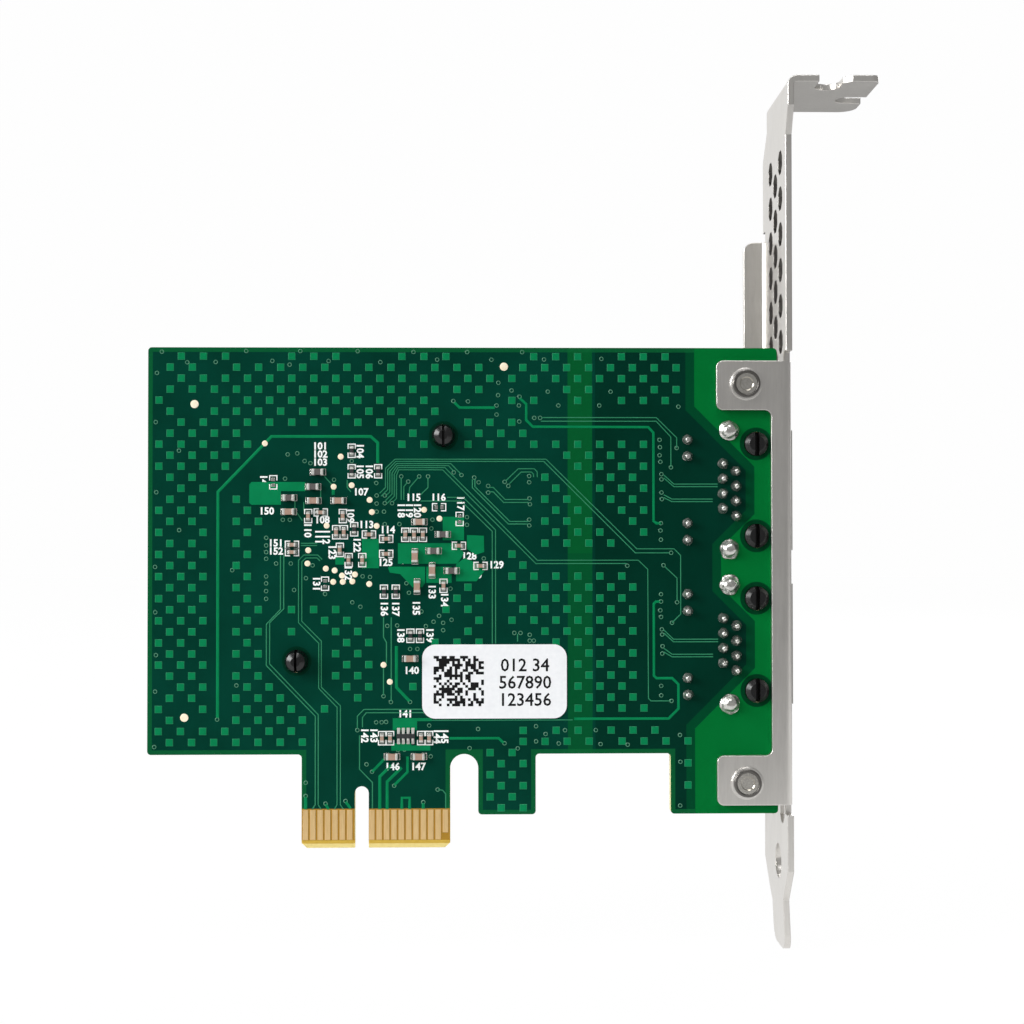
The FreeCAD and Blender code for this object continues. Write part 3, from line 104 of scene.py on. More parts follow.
class Finish:
    """A material built on one Principled shader. Lengths in it are in millimetres."""

    def __init__(self, name, roughness, metallic=0.0):
        self.material = bpy.data.materials.new(name)
        self.material.use_nodes = True
        self.tree = self.material.node_tree
        self.shader = self.tree.nodes["Principled BSDF"]
        self.set("Roughness", roughness)
        self.set("Metallic", metallic)

    def node(self, kind, settings, values, output=0):
        made = self.tree.nodes.new(kind)
        for name, setting in settings.items():
            setattr(made, name, setting)
        for name, value in values.items():
            if isinstance(value, Value):
                self.tree.links.new(value.socket, made.inputs[name])
            else:
                made.inputs[name].default_value = value
        return Value(self, made.outputs[output])

    def set(self, name, value):
        if isinstance(value, Value):
            self.tree.links.new(value.socket, self.shader.inputs[name])
        else:
            self.shader.inputs[name].default_value = value

    def place(self):
        """The point on the piece as a vector in millimetres."""
        spot = self.node("ShaderNodeTexCoord", {}, {}, "Object")
        return self.node("ShaderNodeVectorMath", {"operation": "SCALE"}, {0: spot, "Scale": 1000})

    def axes(self):
        place = self.place()
        return [self.node("ShaderNodeSeparateXYZ", {}, {0: place}, axis) for axis in "XYZ"]

    def noise(self, size, stretch=(1, 1, 1), detail=2.0):
        """Cloudy values round 0.5, whose spots are about one size across."""
        place = self.node("ShaderNodeMapping", {}, {"Vector": self.place(), "Scale": stretch})
        return self.node("ShaderNodeTexNoise", {},
                         {"Vector": place, "Scale": 1 / size, "Detail": detail})

    def mix(self, share, first, second):
        return self.node("ShaderNodeMix", {"data_type": "RGBA"},
                         {0: share, 6: first, 7: second}, 2)

    def tint(self, share, first, second):
        """Colour the piece between two paints."""
        self.colour = self.mix(share, first, second)
        self.set("Base Color", self.colour)

    def bump(self, height, depth, rounded=0):
        """Raise the surface by up to a depth in millimetres, and soften its edges."""
        values = {"Height": height, "Distance": depth * MM}
        if rounded:
            values["Normal"] = self.node("ShaderNodeBevel", {"samples": 6},
                                         {"Radius": rounded * MM})
        self.set("Normal", self.node("ShaderNodeBump", {}, values))


def paint(red, green, blue):
    """A colour given as on a paint chart, from 0 to 255."""
    def linear(level):
        level /= 255
        return level / 12.92 if level <= 0.04045 else ((level + 0.055) / 1.055) ** 2.4
    return (linear(red), linear(green), linear(blue), 1.0)


def dress(finish, *names):
    """Give CAD nodes a finish."""
    for name in names:
        for place in nodes[name].material_slots:
            place.material = finish.material


def box_of(name):
    """The low and high corners of a CAD node, in millimetres."""
    return [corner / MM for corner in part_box(name)]


solder_face, component_face = [corner.y for corner in box_of("circuit_board")]
JACK_CENTRES = (48.66, 27.53)
PEG_X, PEG_OFFSET = 53.9, 6.3
PUSH_PINS = ((11.1, 56.05), (-8.84, 25.39))
CHASSIS_LEFT, CHASSIS_WAIST, CHASSIS_PORTS = 45.42, 49.05, 53.65
BAND_X, BAND_HALF = 29.73, 1.68
CARD_EDGE_X, CARD_EDGE_HALF = 1.9, 10.2
MASK_END, BEVEL_TOP, BEVEL_MIDDLE = 5.35, 1.12, 0.62
KEEP_OUT_PEG, KEEP_OUT_PUSH_PIN = 2.25, 2.0
EDGE_STRIP = 0.62


def board_finish():
    board = Finish("board_mask_and_laminate", 0.34)
    board.set("Specular IOR Level", 0.03)
    x, y, z = board.axes()

    def ground(inset):
        """Where the chassis copper isn't, shrunk by an inset."""
        slant = inset * 1.414
        above = z - x > -29.35 + slant
        below = x + z < 105.5 - slant
        strip = (x < CHASSIS_WAIST - inset) & above & below
        ports = x < CHASSIS_PORTS - inset
        upper = ports & below & (z - x > -8.3 + slant)
        lower = ports & above & (x + z < 84.37 - slant)
        return (x < CHASSIS_LEFT - inset) | strip | upper | lower

    bare = ground(0)
    deep = ground(1.2)
    patches = board.noise(9, detail=3)
    threads = ((x * 8.2).maths("SINE") + (z * 8.2).maths("SINE")) * 0.25 + 0.5
    weave = threads * 0.6 + board.noise(0.35, detail=1) * 0.4

    dark = board.mix(patches, paint(0, 40, 29), paint(3, 66, 52))
    band = (abs(x - BAND_X) < BAND_HALF) * (0.75 + (z > 40) * 0.25)
    dark = board.mix(band, dark, paint(4, 82, 40))
    dark = board.mix((x > BAND_X + 2.07) * 0.55, dark, paint(0, 36, 24))
    rim = board.mix(patches, paint(0, 60, 36), paint(0, 70, 38))
    colour = board.mix(deep, rim, dark)
    chassis = board.mix(patches, paint(0, 97, 40), paint(2, 108, 48))
    colour = board.mix(bare, chassis, colour)

    # The inner planes stop short of the edges, so a strip along them looks lighter.
    inside = any_of([
        ((x - left) & (right - x)) & ((z - bottom) & (top - z))
        for left, bottom, right, top in ((-29.05, 12.72, 56.76, 68.1), (-8.15, -2, 12.0, 30),
                                         (15.82, 4.5, 23.64, 30), (42.06, 4.5, 56.76, 30))])
    edge = (inside < EDGE_STRIP) & (x < CHASSIS_LEFT - 0.02)
    colour = board.mix(edge * 0.7, colour, paint(12, 92, 48))

    # Dark keep-out rings lie round the pegs and the push pins.
    places = [(PEG_X, centre + side * PEG_OFFSET, KEEP_OUT_PEG)
              for centre in JACK_CENTRES for side in (-1, 1)]
    places += [(push_x, push_z, KEEP_OUT_PUSH_PIN) for push_x, push_z in PUSH_PINS]
    rings = any_of([squared(x - ring_x, z - ring_z) < radius * radius
                    for ring_x, ring_z, radius in places])
    colour = board.mix(rings * 0.85, colour, paint(0, 42, 26))

    # Bare laminate: the card edge below the mask, and every routed side.
    brown = board.mix(board.noise(0.8), paint(150, 112, 40), paint(172, 132, 52))
    tongue = abs(x - CARD_EDGE_X) < CARD_EDGE_HALF
    card_edge = (z < MASK_END) & tongue
    colour = board.mix(card_edge, colour, brown)
    layers = ((y * 26).maths("SINE") * 0.5 + 0.5) * 0.5 + board.noise(0.3, (1, 4, 1)) * 0.5
    cut = board.mix(layers, paint(188, 180, 120), paint(232, 228, 188))
    mustard = board.mix(board.noise(0.5), paint(196, 160, 62), paint(214, 180, 84))
    pale = board.mix(board.noise(0.5), paint(228, 205, 128), paint(240, 222, 150))
    bevel = board.mix(z > BEVEL_MIDDLE, pale, mustard)
    cut = board.mix((z < BEVEL_TOP) & tongue, cut, bevel)
    side = abs(y) < component_face - 0.004
    colour = board.mix(side, colour, cut)

    board.set("Base Color", colour)
    board.set("Roughness", 0.3 + board.noise(2.5) * 0.12 + (side | card_edge) * 0.3)
    board.bump(weave * (1 - side) + side * layers * 2, 0.006)
    return board


dress(board_finish(), "circuit_board")


# Copper under the mask: a chequer of loose squares that evens out the plating, and the tracks
# and patches that carry the signals. Each stands 35 micrometres proud, and the mask is thin
# and pale where it runs down their sides.
def clear():
    """Deselect everything, because an operator acts on all that is selected."""
    bpy.ops.object.select_all(action="DESELECT")


def settle(item, name):
    """Name a finished object and move its place into its mesh."""
    clear()
    item.select_set(True)
    bpy.context.view_layer.objects.active = item
    bpy.ops.object.transform_apply(location=True, rotation=True, scale=True)
    item.name = name
    item.data.name = name
    return item


def merge(items, name):
    """Join objects into one and settle it."""
    clear()
    for item in items:
        item.select_set(True)
    bpy.context.view_layer.objects.active = items[0]
    if len(items) > 1:
        bpy.ops.object.join()
    return settle(items[0], name)


def lay_out(pattern, places, name):
    """Copy a pattern to every place, join the copies and drop the pattern."""
    copies = []
    for place in places:
        mesh = pattern.data.copy()
        mesh.transform(place)
        copies.append(bpy.data.objects.new(name, mesh))
        bpy.context.collection.objects.link(copies[-1])
    bpy.data.objects.remove(pattern)
    return merge(copies, name)


def coat(item, *finishes):
    """Give a new piece its finishes, in slot order."""
    item.data.materials.clear()
    for finish in finishes:
        item.data.materials.append(finish.material)


def keep(item):
    """Fix a finished piece to the card."""
    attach(item, "root")


def at(x, z, turn=0, y=solder_face):
    """The place of something that lies on the solder face, turned in its plane."""
    return (Matrix.Translation((x * MM, y * MM, z * MM))
            @ Matrix.Rotation(math.radians(turn), 4, "Y"))


def paint_sides(item, level):
    """Give the second finish to the faces that don't look straight out of the board."""
    for face in item.data.polygons:
        if abs(face.normal.y) < level:
            face.material_index = 1


def masked_copper(name, dark, light):
    """Solder mask over copper, cloudy between two greens."""
    copper = Finish(name, 0.3)
    copper.set("Specular IOR Level", 0.05)
    tint = copper.noise(1.6, detail=3) * 0.6 + copper.noise(12) * 0.4
    copper.tint(tint, dark, light)
    copper.set("Roughness", 0.27 + copper.noise(1.2) * 0.12)
    copper.bump(copper.noise(0.4), 0.004)
    return copper


over_copper = masked_copper("mask_over_copper", paint(2, 104, 60), paint(10, 132, 82))
thin_mask = masked_copper("mask_over_copper_edges", paint(26, 108, 74), paint(60, 138, 102))
COPPER = 0.035

TRACKS = {
    0.42: (
        ((-19.55, 17.7), (-19.55, 48.4), (-12.3, 55.95), (1.2, 55.95), (2.15, 55.1),
         (2.15, 52.3)),
        ((21.5, 61.2), (22.4, 60.4), (22.4, 58.2), (23.3, 57.3), (39.1, 57.25), (39.8, 56.5),
         (39.8, 44.4), (40.2, 44.1), (40.8, 44.1)),
        ((12.6, 60.6), (13.3, 59.9), (18.1, 59.9)),
        ((40.7, 33.4), (40.1, 33.4), (39.8, 33.1), (39.8, 23.3), (40.15, 22.95), (42.3, 22.95),
         (43.15, 22.1), (43.15, 18.8), (41.8, 17.45), (28.9, 17.45)),
        ((2.45, 5.3), (2.45, 9.7), (4.0, 11.2)), ((3.45, 5.3), (3.45, 9.0), (5.4, 10.9)),
        ((4.4, 8.5), (6.2, 10.3), (6.2, 12.4)), ((1.4, 10.35), (3.1, 12.1)),
        ((11.9, 14.85), (18.6, 14.85), (19.3, 14.2)), ((4.7, 27.4), (4.7, 21.8), (6.5, 19.9)),
        ((5.45, 5.3), (5.45, 6.8), (6.5, 6.8), (6.5, 5.3)), ((8.35, 5.3), (8.35, 6.1)),
        ((-7.6, 5.3), (-7.6, 7.0)), ((-4.9, 6.0), (-4.5, 5.3)), ((-2.2, 6.3), (-1.5, 5.4)),
        ((-3.9, 48.9), (-3.9, 48.0)),
    ),
    0.16: (
        ((2.4, 48.2), (3.2, 49.0), (3.2, 51.6), (4.5, 52.85), (25.1, 52.85), (37.5, 40.6),
         (42.6, 40.6), (43.5, 39.7), (43.5, 31.7), (42.3, 30.5)),
        ((2.6, 47.8), (3.5, 48.7), (3.5, 51.4), (4.6, 52.55), (24.8, 52.55), (37.3, 40.05),
         (42.0, 40.05)),
        ((3.2, 47.8), (3.8, 48.4), (3.8, 51.2), (4.7, 52.25), (12.1, 52.25), (13.5, 50.8)),
        ((3.2, 47.2), (4.1, 48.1), (4.1, 51.0), (4.8, 51.97), (11.8, 51.97), (12.5, 51.2)),
        ((3.4, 46.8), (4.4, 47.8), (4.4, 50.8), (4.9, 51.7), (11.3, 51.7), (23.9, 39.05),
         (37.7, 39.05), (39.0, 37.8), (39.05, 20.2), (39.4, 19.85), (42.1, 19.85)),
        ((4.2, 47.0), (4.7, 47.5), (4.7, 50.6), (5.0, 51.4), (11.0, 51.4), (23.7, 38.6),
         (36.1, 38.6)),
        ((11.6, 47.65), (13.8, 47.65), (18.2, 43.2), (18.2, 27.7)),
        ((8.0, 47.15), (13.5, 47.15), (17.75, 43.0), (17.75, 27.7)),
        ((24.5, 58.55), (40.2, 58.55), (43.0, 55.8), (43.0, 54.4)),
        ((24.4, 58.05), (40.2, 58.05), (42.2, 55.9), (42.2, 51.8)),
        ((-11.05, 39.8), (-11.05, 32.4), (-12.95, 30.4), (-12.95, 24.8), (-6.3, 17.9),
         (-6.3, 5.9), (-6.7, 5.3)),
        ((-10.6, 39.8), (-10.6, 32.5), (-12.5, 30.6), (-12.5, 25.0), (-5.9, 18.1),
         (-5.9, 5.9), (-5.5, 5.3)),
        ((-5.4, 39.2), (-6.0, 39.8), (-7.9, 39.8), (-8.6, 39.1), (-8.6, 30.6), (-5.85, 27.8),
         (-5.85, 21.7), (-3.35, 19.1), (-3.35, 5.9), (-3.7, 5.3)),
        ((-5.7, 39.0), (-6.1, 39.4), (-7.6, 39.4), (-8.15, 38.9), (-8.15, 30.8), (-5.5, 28.1),
         (-5.5, 21.85), (-2.9, 19.3), (-2.9, 5.9), (-2.5, 5.3)),
        ((-8.3, 41.4), (-6.1, 41.4)), ((-8.3, 41.1), (-6.1, 41.1)),
        ((-0.6, 16.2), (-0.6, 17.9), (0.3, 18.8), (8.4, 18.8)),
        ((0.1, 16.4), (0.1, 17.7), (0.6, 18.35), (8.7, 18.35)),
        ((7.8, 17.3), (28.7, 17.3)),
        ((-0.3, 15.3), (-0.3, 10.7), (1.45, 8.9), (1.45, 5.4)),
        ((11.4, 5.3), (11.4, 7.3), (11.0, 7.8), (10.4, 7.9)),
        ((2.95, 31.3), (2.95, 28.6), (3.35, 27.9), (3.35, 25.1), (2.95, 24.6), (2.95, 20.7)),
        ((4.0, 31.3), (4.0, 19.9)),
        ((41.2, 50.7), (42.6, 49.45), (48.6, 49.45)), ((41.2, 50.3), (42.6, 49.1), (48.6, 49.1)),
        ((41.2, 48.0), (42.3, 47.4), (47.9, 47.4)), ((41.2, 47.6), (42.3, 47.05), (47.9, 47.05)),
        ((41.2, 29.5), (42.5, 28.25), (48.6, 28.25)), ((41.2, 29.1), (42.5, 27.9), (48.6, 27.9)),
        ((41.2, 27.0), (42.3, 26.2), (47.9, 26.2)), ((41.2, 26.5), (42.3, 25.85), (47.9, 25.85)),
        ((41.3, 38.2), (43.0, 36.6), (43.0, 33.5)),
        ((5.35, 50.3), (5.35, 47.3)), ((6.2, 49.7), (5.7, 49.1), (5.7, 47.3)),
        ((7.7, 50.4), (6.5, 49.0), (6.4, 48.1)), ((9.0, 50.3), (9.0, 49.0), (8.0, 48.0)),
        ((15.4, 50.1), (15.4, 49.1), (20.15, 44.35), (22.7, 44.35)),
        ((15.05, 50.1), (15.05, 48.95), (19.95, 44.0), (22.7, 44.0)),
        ((17.4, 49.0), (17.9, 49.0), (19.5, 47.35), (22.7, 47.35)),
        ((17.4, 48.4), (17.9, 48.4), (19.3, 46.95), (22.7, 46.95)),
        ((19.6, 49.9), (21.3, 51.55), (23.5, 51.55), (23.9, 51.1), (23.9, 50.4)),
        ((20.1, 49.5), (21.7, 51.1), (23.1, 51.1), (23.4, 50.8), (23.4, 50.4)),
        ((-5.1, 50.5), (-4.1, 49.4)), ((-2.0, 50.0), (-2.0, 49.0), (-1.5, 48.4)),
        ((-9.1, 47.4), (-9.1, 45.9), (-8.1, 44.5)), ((-5.6, 48.6), (-5.6, 47.2)),
        ((-7.9, 47.0), (-7.9, 45.9)), ((21.2, 29.0), (21.2, 28.0)),
    ),
}


def extrude(x, y, z):
    """Extrude what is selected by so many millimetres."""
    run = Vector((x, y, z)) * MM
    bpy.ops.mesh.extrude_region_move(TRANSFORM_OT_translate={"value": run})


def chain(route):
    """Start a mesh with a chain of runs on the solder face, and stay in edit mode."""
    clear()
    start = Vector((route[0][0], solder_face, route[0][1])) * MM
    bpy.ops.mesh.primitive_plane_add(size=MM, location=start)
    bpy.ops.object.mode_set(mode="EDIT")
    bpy.ops.mesh.merge(type="CENTER")
    for (x, z), (next_x, next_z) in zip(route, route[1:]):
        extrude(next_x - x, 0, next_z - z)


def track(route, width):
    """One copper track: a chain of runs, thickened and pressed flat on the board."""
    chain(route)
    bpy.ops.object.mode_set(mode="OBJECT")
    bpy.ops.object.convert(target="CURVE")
    line = bpy.context.object
    line.data.bevel_depth = width / 2 * MM
    line.data.bevel_resolution = 1
    line.data.use_fill_caps = True
    bpy.ops.object.convert(target="MESH")
    line = bpy.context.object
    line.scale.y = COPPER * 2 / width
    return line


for width, name, mask in ((0.42, "wide_tracks", over_copper), (0.16, "fine_tracks", thin_mask)):
    tracks = merge([track(route, width) for route in TRACKS[width]], name)
    coat(tracks, mask)
    keep(tracks)


def plate(outline, name, thick, *finishes):
    """A flat shape with its outline on the solder face, standing proud of it by a thickness."""
    chain(outline)
    bpy.ops.mesh.select_all(action="SELECT")
    bpy.ops.mesh.edge_face_add()
    extrude(0, -thick, 0)
    bpy.ops.mesh.select_all(action="SELECT")
    bpy.ops.mesh.normals_make_consistent(inside=False)
    bpy.ops.object.mode_set(mode="OBJECT")
    made = settle(bpy.context.object, name)
    coat(made, *finishes)
    if len(finishes) > 1:
        paint_sides(made, 0.9)
    return made


PATCHES = (
    ((-15.3, 46.9), (-15.0, 46.65), (-11.0, 46.65), (-11.0, 48.5), (-7.7, 48.5), (-7.7, 49.75),
     (-15.0, 49.75), (-15.3, 49.4)),
    ((0.0, 38.0), (2.3, 38.0), (2.3, 42.0), (0.0, 42.0)),
    ((-3.6, 38.5), (-2.4, 38.5), (-2.4, 39.5), (-3.6, 39.5)),
    ((4.9, 38.6), (13.0, 38.6), (13.9, 40.0), (13.0, 41.4), (4.9, 41.4)),
    ((3.6, 37.9), (3.8, 37.4), (5.2, 37.2), (6.9, 35.4), (8.2, 35.4), (8.6, 36.0), (8.6, 38.2),
     (3.6, 38.2)),
    ((8.75, 36.0), (12.2, 36.0), (12.2, 38.2), (8.75, 38.2)),
    ((12.8, 36.2), (15.6, 36.2), (17.0, 38.0), (14.0, 39.4), (12.8, 38.5)),
    ((14.3, 40.6), (15.5, 39.8), (16.65, 40.2), (16.6, 42.4), (14.3, 42.5)),
    ((11.0, 41.8), (13.9, 41.8), (13.9, 45.0), (11.0, 45.0)),
    ((4.2, 16.0), (7.5, 16.0), (7.5, 17.2), (9.5, 17.2), (9.5, 17.6), (4.2, 17.6)),
    ((4.0, 13.2), (9.3, 13.2), (9.3, 13.9), (6.7, 13.9), (6.7, 14.2), (4.0, 14.2)),
)
patches = merge([plate(outline, "patch", COPPER * 0.9, over_copper, thin_mask)
                 for outline in PATCHES], "copper_patches")
keep(patches)


# The chip parts on the solder side: fired ceramic blocks with tin-dipped ends, soldered flat
# to their pads. Each stands on two pads and has a concave fillet of solder at both ends.
def loose_parts(name):
    """The box of every separate solid in a CAD node, in millimetres."""
    mesh = bmesh.new()
    mesh.from_mesh(nodes[name].data)
    bmesh.ops.remove_doubles(mesh, verts=mesh.verts, dist=1e-6)
    seen = set()
    boxes = []
    for start in mesh.verts:
        if start in seen:
            continue
        seen.add(start)
        island = [start]
        for vert in island:
            for edge in vert.link_edges:
                other = edge.other_vert(vert)
                if other not in seen:
                    seen.add(other)
                    island.append(other)
        corners = [vert.co / MM for vert in island]
        boxes.append((Vector(map(min, zip(*corners))), Vector(map(max, zip(*corners)))))
    mesh.free()
    return boxes


def block(low, high, bevel, steps=2):
    """A box between two corners in millimetres, with its edges rounded."""
    clear()
    middle = (Vector(low) + Vector(high)) / 2 * MM
    size = (Vector(high) - Vector(low)) * MM
    bpy.ops.mesh.primitive_cube_add(size=1, location=middle, scale=size)
    made = bpy.context.object
    bpy.ops.object.transform_apply(location=True, rotation=True, scale=True)
    edge = made.modifiers.new("edges", "BEVEL")
    edge.width = bevel * MM
    edge.segments = steps
    bpy.ops.object.modifier_apply(modifier=edge.name)
    return made


def squeeze(item, near, amount):
    """Move the corners that a rule picks out."""
    for vert in item.data.vertices:
        if near(vert.co / MM):
            vert.co += Vector(amount) * MM


def solder_finish(name):
    """Bright tin that has flowed and set, with soft dents."""
    tin = Finish(name, 0.2, 1.0)
    spots = tin.noise(0.5, detail=3)
    tin.tint(spots, paint(176, 176, 172), paint(226, 226, 220))
    tin.set("Roughness", 0.12 + tin.noise(0.25) * 0.22)
    tin.bump(tin.noise(0.22, detail=3), 0.03)
    return tin


def ceramic(name, dark, light):
    """Fired ceramic with a fine grain."""
    body = Finish(name, 0.5)
    grain = body.noise(0.12, detail=3) * 0.7 + body.noise(1.5) * 0.3
    body.tint(grain, dark, light)
    body.set("Roughness", 0.42 + body.noise(0.2) * 0.2)
    body.bump(grain, 0.004)
    return body


chip_tin = solder_finish("chip_end_tin")
chip_tin.set("Roughness", 0.3 + chip_tin.noise(0.3) * 0.2)
chip_tin.set("Metallic", 0.45)
tan_ceramic = ceramic("tan_ceramic", paint(136, 106, 90), paint(184, 156, 138))
dark_ceramic = ceramic("dark_glazed_ceramic", paint(22, 24, 26), paint(44, 46, 48))
ferrite_ceramic = ceramic("ferrite", paint(60, 57, 56), paint(104, 98, 95))
pad_solder = solder_finish("pad_solder")


def chip(length, width, height, end, body_finish, overlap=0.32):
    """A chip part along X on the plane y = 0, standing towards -Y, with its pads."""
    half, side = length / 2, width / 2
    body = block((-half + end * 0.6, -height + 0.02, -side + 0.015),
                 (half - end * 0.6, -0.02, side - 0.015), 0.03)
    coat(body, body_finish, chip_tin, pad_solder)
    pieces = [body]
    for way in (-1, 1):
        inner, outer = sorted((way * (half - end), way * half))
        cap = block((inner, -height, -side), (outer, 0, side), min(0.09, end * 0.3))
        coat(cap, chip_tin)
        pad_reach = way * (half + overlap)
        inner, outer = sorted((way * (half - end * 1.2), pad_reach))
        pad = block((inner, -0.045, -side - 0.04), (outer, 0.01, side + 0.04), 0.02, 1)
        coat(pad, pad_solder)
        inner, outer = sorted((way * (half - 0.05), pad_reach - way * 0.05))
        fillet = block((inner, -height * 0.62, -side + 0.03), (outer, 0, side - 0.03), 0.05)
        squeeze(fillet, lambda spot: way * spot.x > half + overlap * 0.4 and spot.y < -0.1,
                (0, height * 0.5, 0))
        coat(fillet, pad_solder)
        pieces += [cap, pad, fillet]
    return merge(pieces, "chip")


def is_large(low, high):
    """Whether a chip part is of the larger size, 1.6 mm long."""
    return max(high.x - low.x, high.z - low.z) > 1.3


def stand(low, high):
    """The place of a chip part over its box, on whichever face of the board it is."""
    middle = (low + high) / 2
    turn = 90 if high.z - low.z > high.x - low.x else 0
    if middle.y < 0:
        return at(middle.x, middle.z, turn)
    return at(middle.x, middle.z, turn, component_face) @ Matrix.Rotation(math.pi, 4, "X")


for side in ("rear", "front"):
    node = side + "_capacitors"
    boxes = loose_parts(node)
    for size, sizes in (("large", (1.6, 0.84, 0.8, 0.36, tan_ceramic)),
                        ("small", (1.0, 0.52, 0.5, 0.24, tan_ceramic, 0.22))):
        places = [stand(low, high) for low, high in boxes
                  if is_large(low, high) == (size == "large")]
        made = lay_out(chip(*sizes), places, "%s_%s_capacitors" % (side, size))
        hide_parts(node)
        keep(made)

for node, slot, sizes in (
        ("rear_resistors", "ceramic_black", (1.0, 0.52, 0.36, 0.24, dark_ceramic, 0.22)),
        ("front_resistors", "ceramic_black", (1.0, 0.52, 0.36, 0.24, dark_ceramic, 0.22)),
        ("rear_ferrite_beads", "ferrite", (1.6, 0.84, 0.8, 0.42, ferrite_ceramic))):
    places = [stand(low, high) for low, high in loose_parts(node)]
    made = lay_out(chip(*sizes), places, node + "_soldered")
    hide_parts(node)
    keep(made)


# Through-plated vias carry tracks from face to face. The mask covers them, so each shows as a
# faint ring with a dimple. The round bare pads are tinned spots for the tester's needles, and
# the last three are the larger marks that the placing machine aims at.
via_ring = Finish("tented_via", 0.3)
via_ring.tint(via_ring.noise(0.6), paint(40, 104, 80), paint(92, 150, 118))
via_ring.bump(via_ring.noise(0.2), 0.004)


def open_ring(radius, wire):
    """A ring that stands a little proud of the plane y = 0."""
    clear()
    bpy.ops.mesh.primitive_torus_add(major_radius=radius * MM, minor_radius=wire * MM,
                                     major_segments=14, minor_segments=5,
                                     rotation=(math.pi / 2, 0, 0))
    ring = bpy.context.object
    ring.scale.z = 0.6
    return settle(ring, "ring")


VIAS = (
    (-27.2, 67.5), (-15.75, 67.6), (-8.4, 67.6), (-0.6, 67.6), (7.0, 67.5), (14.35, 67.5),
    (21.85, 67.5), (-23.75, 66.05), (-19.9, 66.1), (-12.2, 66.25), (-9.85, 65.75),
    (-4.55, 66.25), (2.5, 66.1), (10.25, 66.45), (17.65, 66.45), (24.85, 66.5), (32.7, 66.6),
    (-27.85, 64.6), (-28, 57.9), (18.6, 63.3), (20.4, 62.25), (18.55, 61.6), (25.35, 62.1),
    (33.95, 62.1), (21.5, 61.4), (12.45, 60.8), (14.45, 60.75), (18.35, 60.2), (21.4, 60.2),
    (26.8, 60.2), (32.4, 60.2), (18.35, 58.95), (21.45, 58.0), (23.5, 58.5), (24.3, 58.5),
    (43.25, 60.05), (-24.85, 54.0), (-27.9, 48.35), (-24.8, 43.2), (-28.05, 38.2),
    (-17.6, 37.75), (-28, 32.05), (-27.9, 26.25), (-28, 21.3), (-17, 22.1), (-28.1, 13.8),
    (-19.6, 17.5), (-10.1, 53.5), (-8.8, 53.65), (-7.8, 52.6), (-7.0, 52.3), (-10.45, 50.2),
    (-3.8, 50.05), (-1.4, 52.6), (1.95, 49.6), (-10.75, 44.6), (-9.8, 44.6), (-13, 42.15),
    (-13, 41.1), (-13, 40.2), (-13, 39.3), (-11.65, 38.65), (-9.65, 38.65), (-13, 36.9),
    (-13, 35.95), (-13, 34.9), (-13, 33.85), (-7.6, 36.65), (-6.7, 38.4), (-9.2, 35.05),
    (-5.0, 34.5), (-1.3, 33.35), (-0.2, 32.75), (3.45, 30.15), (0.1, 36.9), (1.1, 36.8),
    (5.35, 50.5), (6.3, 49.8), (7.8, 50.5), (9.0, 50.5), (13.55, 50.7), (12.5, 51.05),
    (15.3, 50.35), (15.9, 49.7), (17.2, 49.2), (17.2, 48.3), (19.45, 49.75), (19.95, 49.2),
    (2.0, 47.9), (3.1, 47.9), (2.0, 46.8), (3.1, 46.85), (4.1, 46.85), (3.0, 45.7), (2.0, 45.7),
    (3.1, 44.0), (5.1, 44.0), (9.6, 44.6), (9.45, 43.4), (14.3, 44.95), (14.3, 43.9),
    (6.05, 35.95), (6.4, 34.65), (8.1, 32.1), (10.5, 31.5), (9.75, 30.7), (11.05, 30.55),
    (12.2, 30.95), (11.05, 29.55), (12.05, 35.2), (16.6, 39.3), (7.45, 37.35), (4.8, 30.2),
    (8.7, 30.1), (20.75, 29.15), (21.6, 29.15), (22.85, 28.9), (22.85, 28.1), (23.4, 28.1),
    (22.8, 50.55), (22.8, 49.7), (22.85, 47.5), (22.9, 46.7), (22.8, 44.6), (22.8, 43.8),
    (40.65, 55.5), (40.7, 54.5), (40.65, 53.4), (40.75, 52.5), (40.9, 50.8), (40.9, 50.1),
    (40.9, 48.3), (40.95, 47.4), (40.8, 44.1), (40.75, 43.1), (40.8, 41.85), (43.0, 54.4),
    (42.2, 51.75), (42.2, 40.05), (36.2, 38.3), (41.15, 38.35), (43.0, 33.3), (42.3, 30.5),
    (40.8, 34.4), (40.8, 33.4), (40.7, 32.2), (40.8, 31.3), (40.9, 29.6), (40.95, 28.9),
    (41.0, 27.3), (40.95, 26.3), (42.2, 19.85), (40.8, 21.9), (40.8, 20.6), (43.35, 15.2),
    (43.4, 11.55), (43.35, 5.6), (27.65, 15.9), (31.85, 15.9), (32.5, 14.0), (36.2, 13.9),
    (9.15, 16.6), (15.8, 16.1), (14.65, 13.5), (21.2, 13.45), (23.7, 16.45), (23.7, 14.4),
    (25.0, 15.4), (26.8, 14.1), (9.35, 12.4), (10.3, 7.9), (8.35, 6.2), (6.55, 19.8),
    (19.4, 14.15), (5.8, 13.35), (4.9, 13.3), (-4.9, 6.05), (-2.2, 6.4), (-7.6, 8.9),
    (-7.6, 7.1), (-0.6, 16.0), (1.95, 17.05), (2.7, 17.05), (3.3, 17.1), (0.65, 11.35),
    (1.4, 10.35), (4.4, 8.45), (3.95, 19.8), (2.95, 20.6), (6.55, 27.0), (7.55, 27.0))
vias = lay_out(open_ring(0.24, 0.055), [at(x, z) for x, z in VIAS], "vias")
coat(vias, via_ring)
keep(vias)

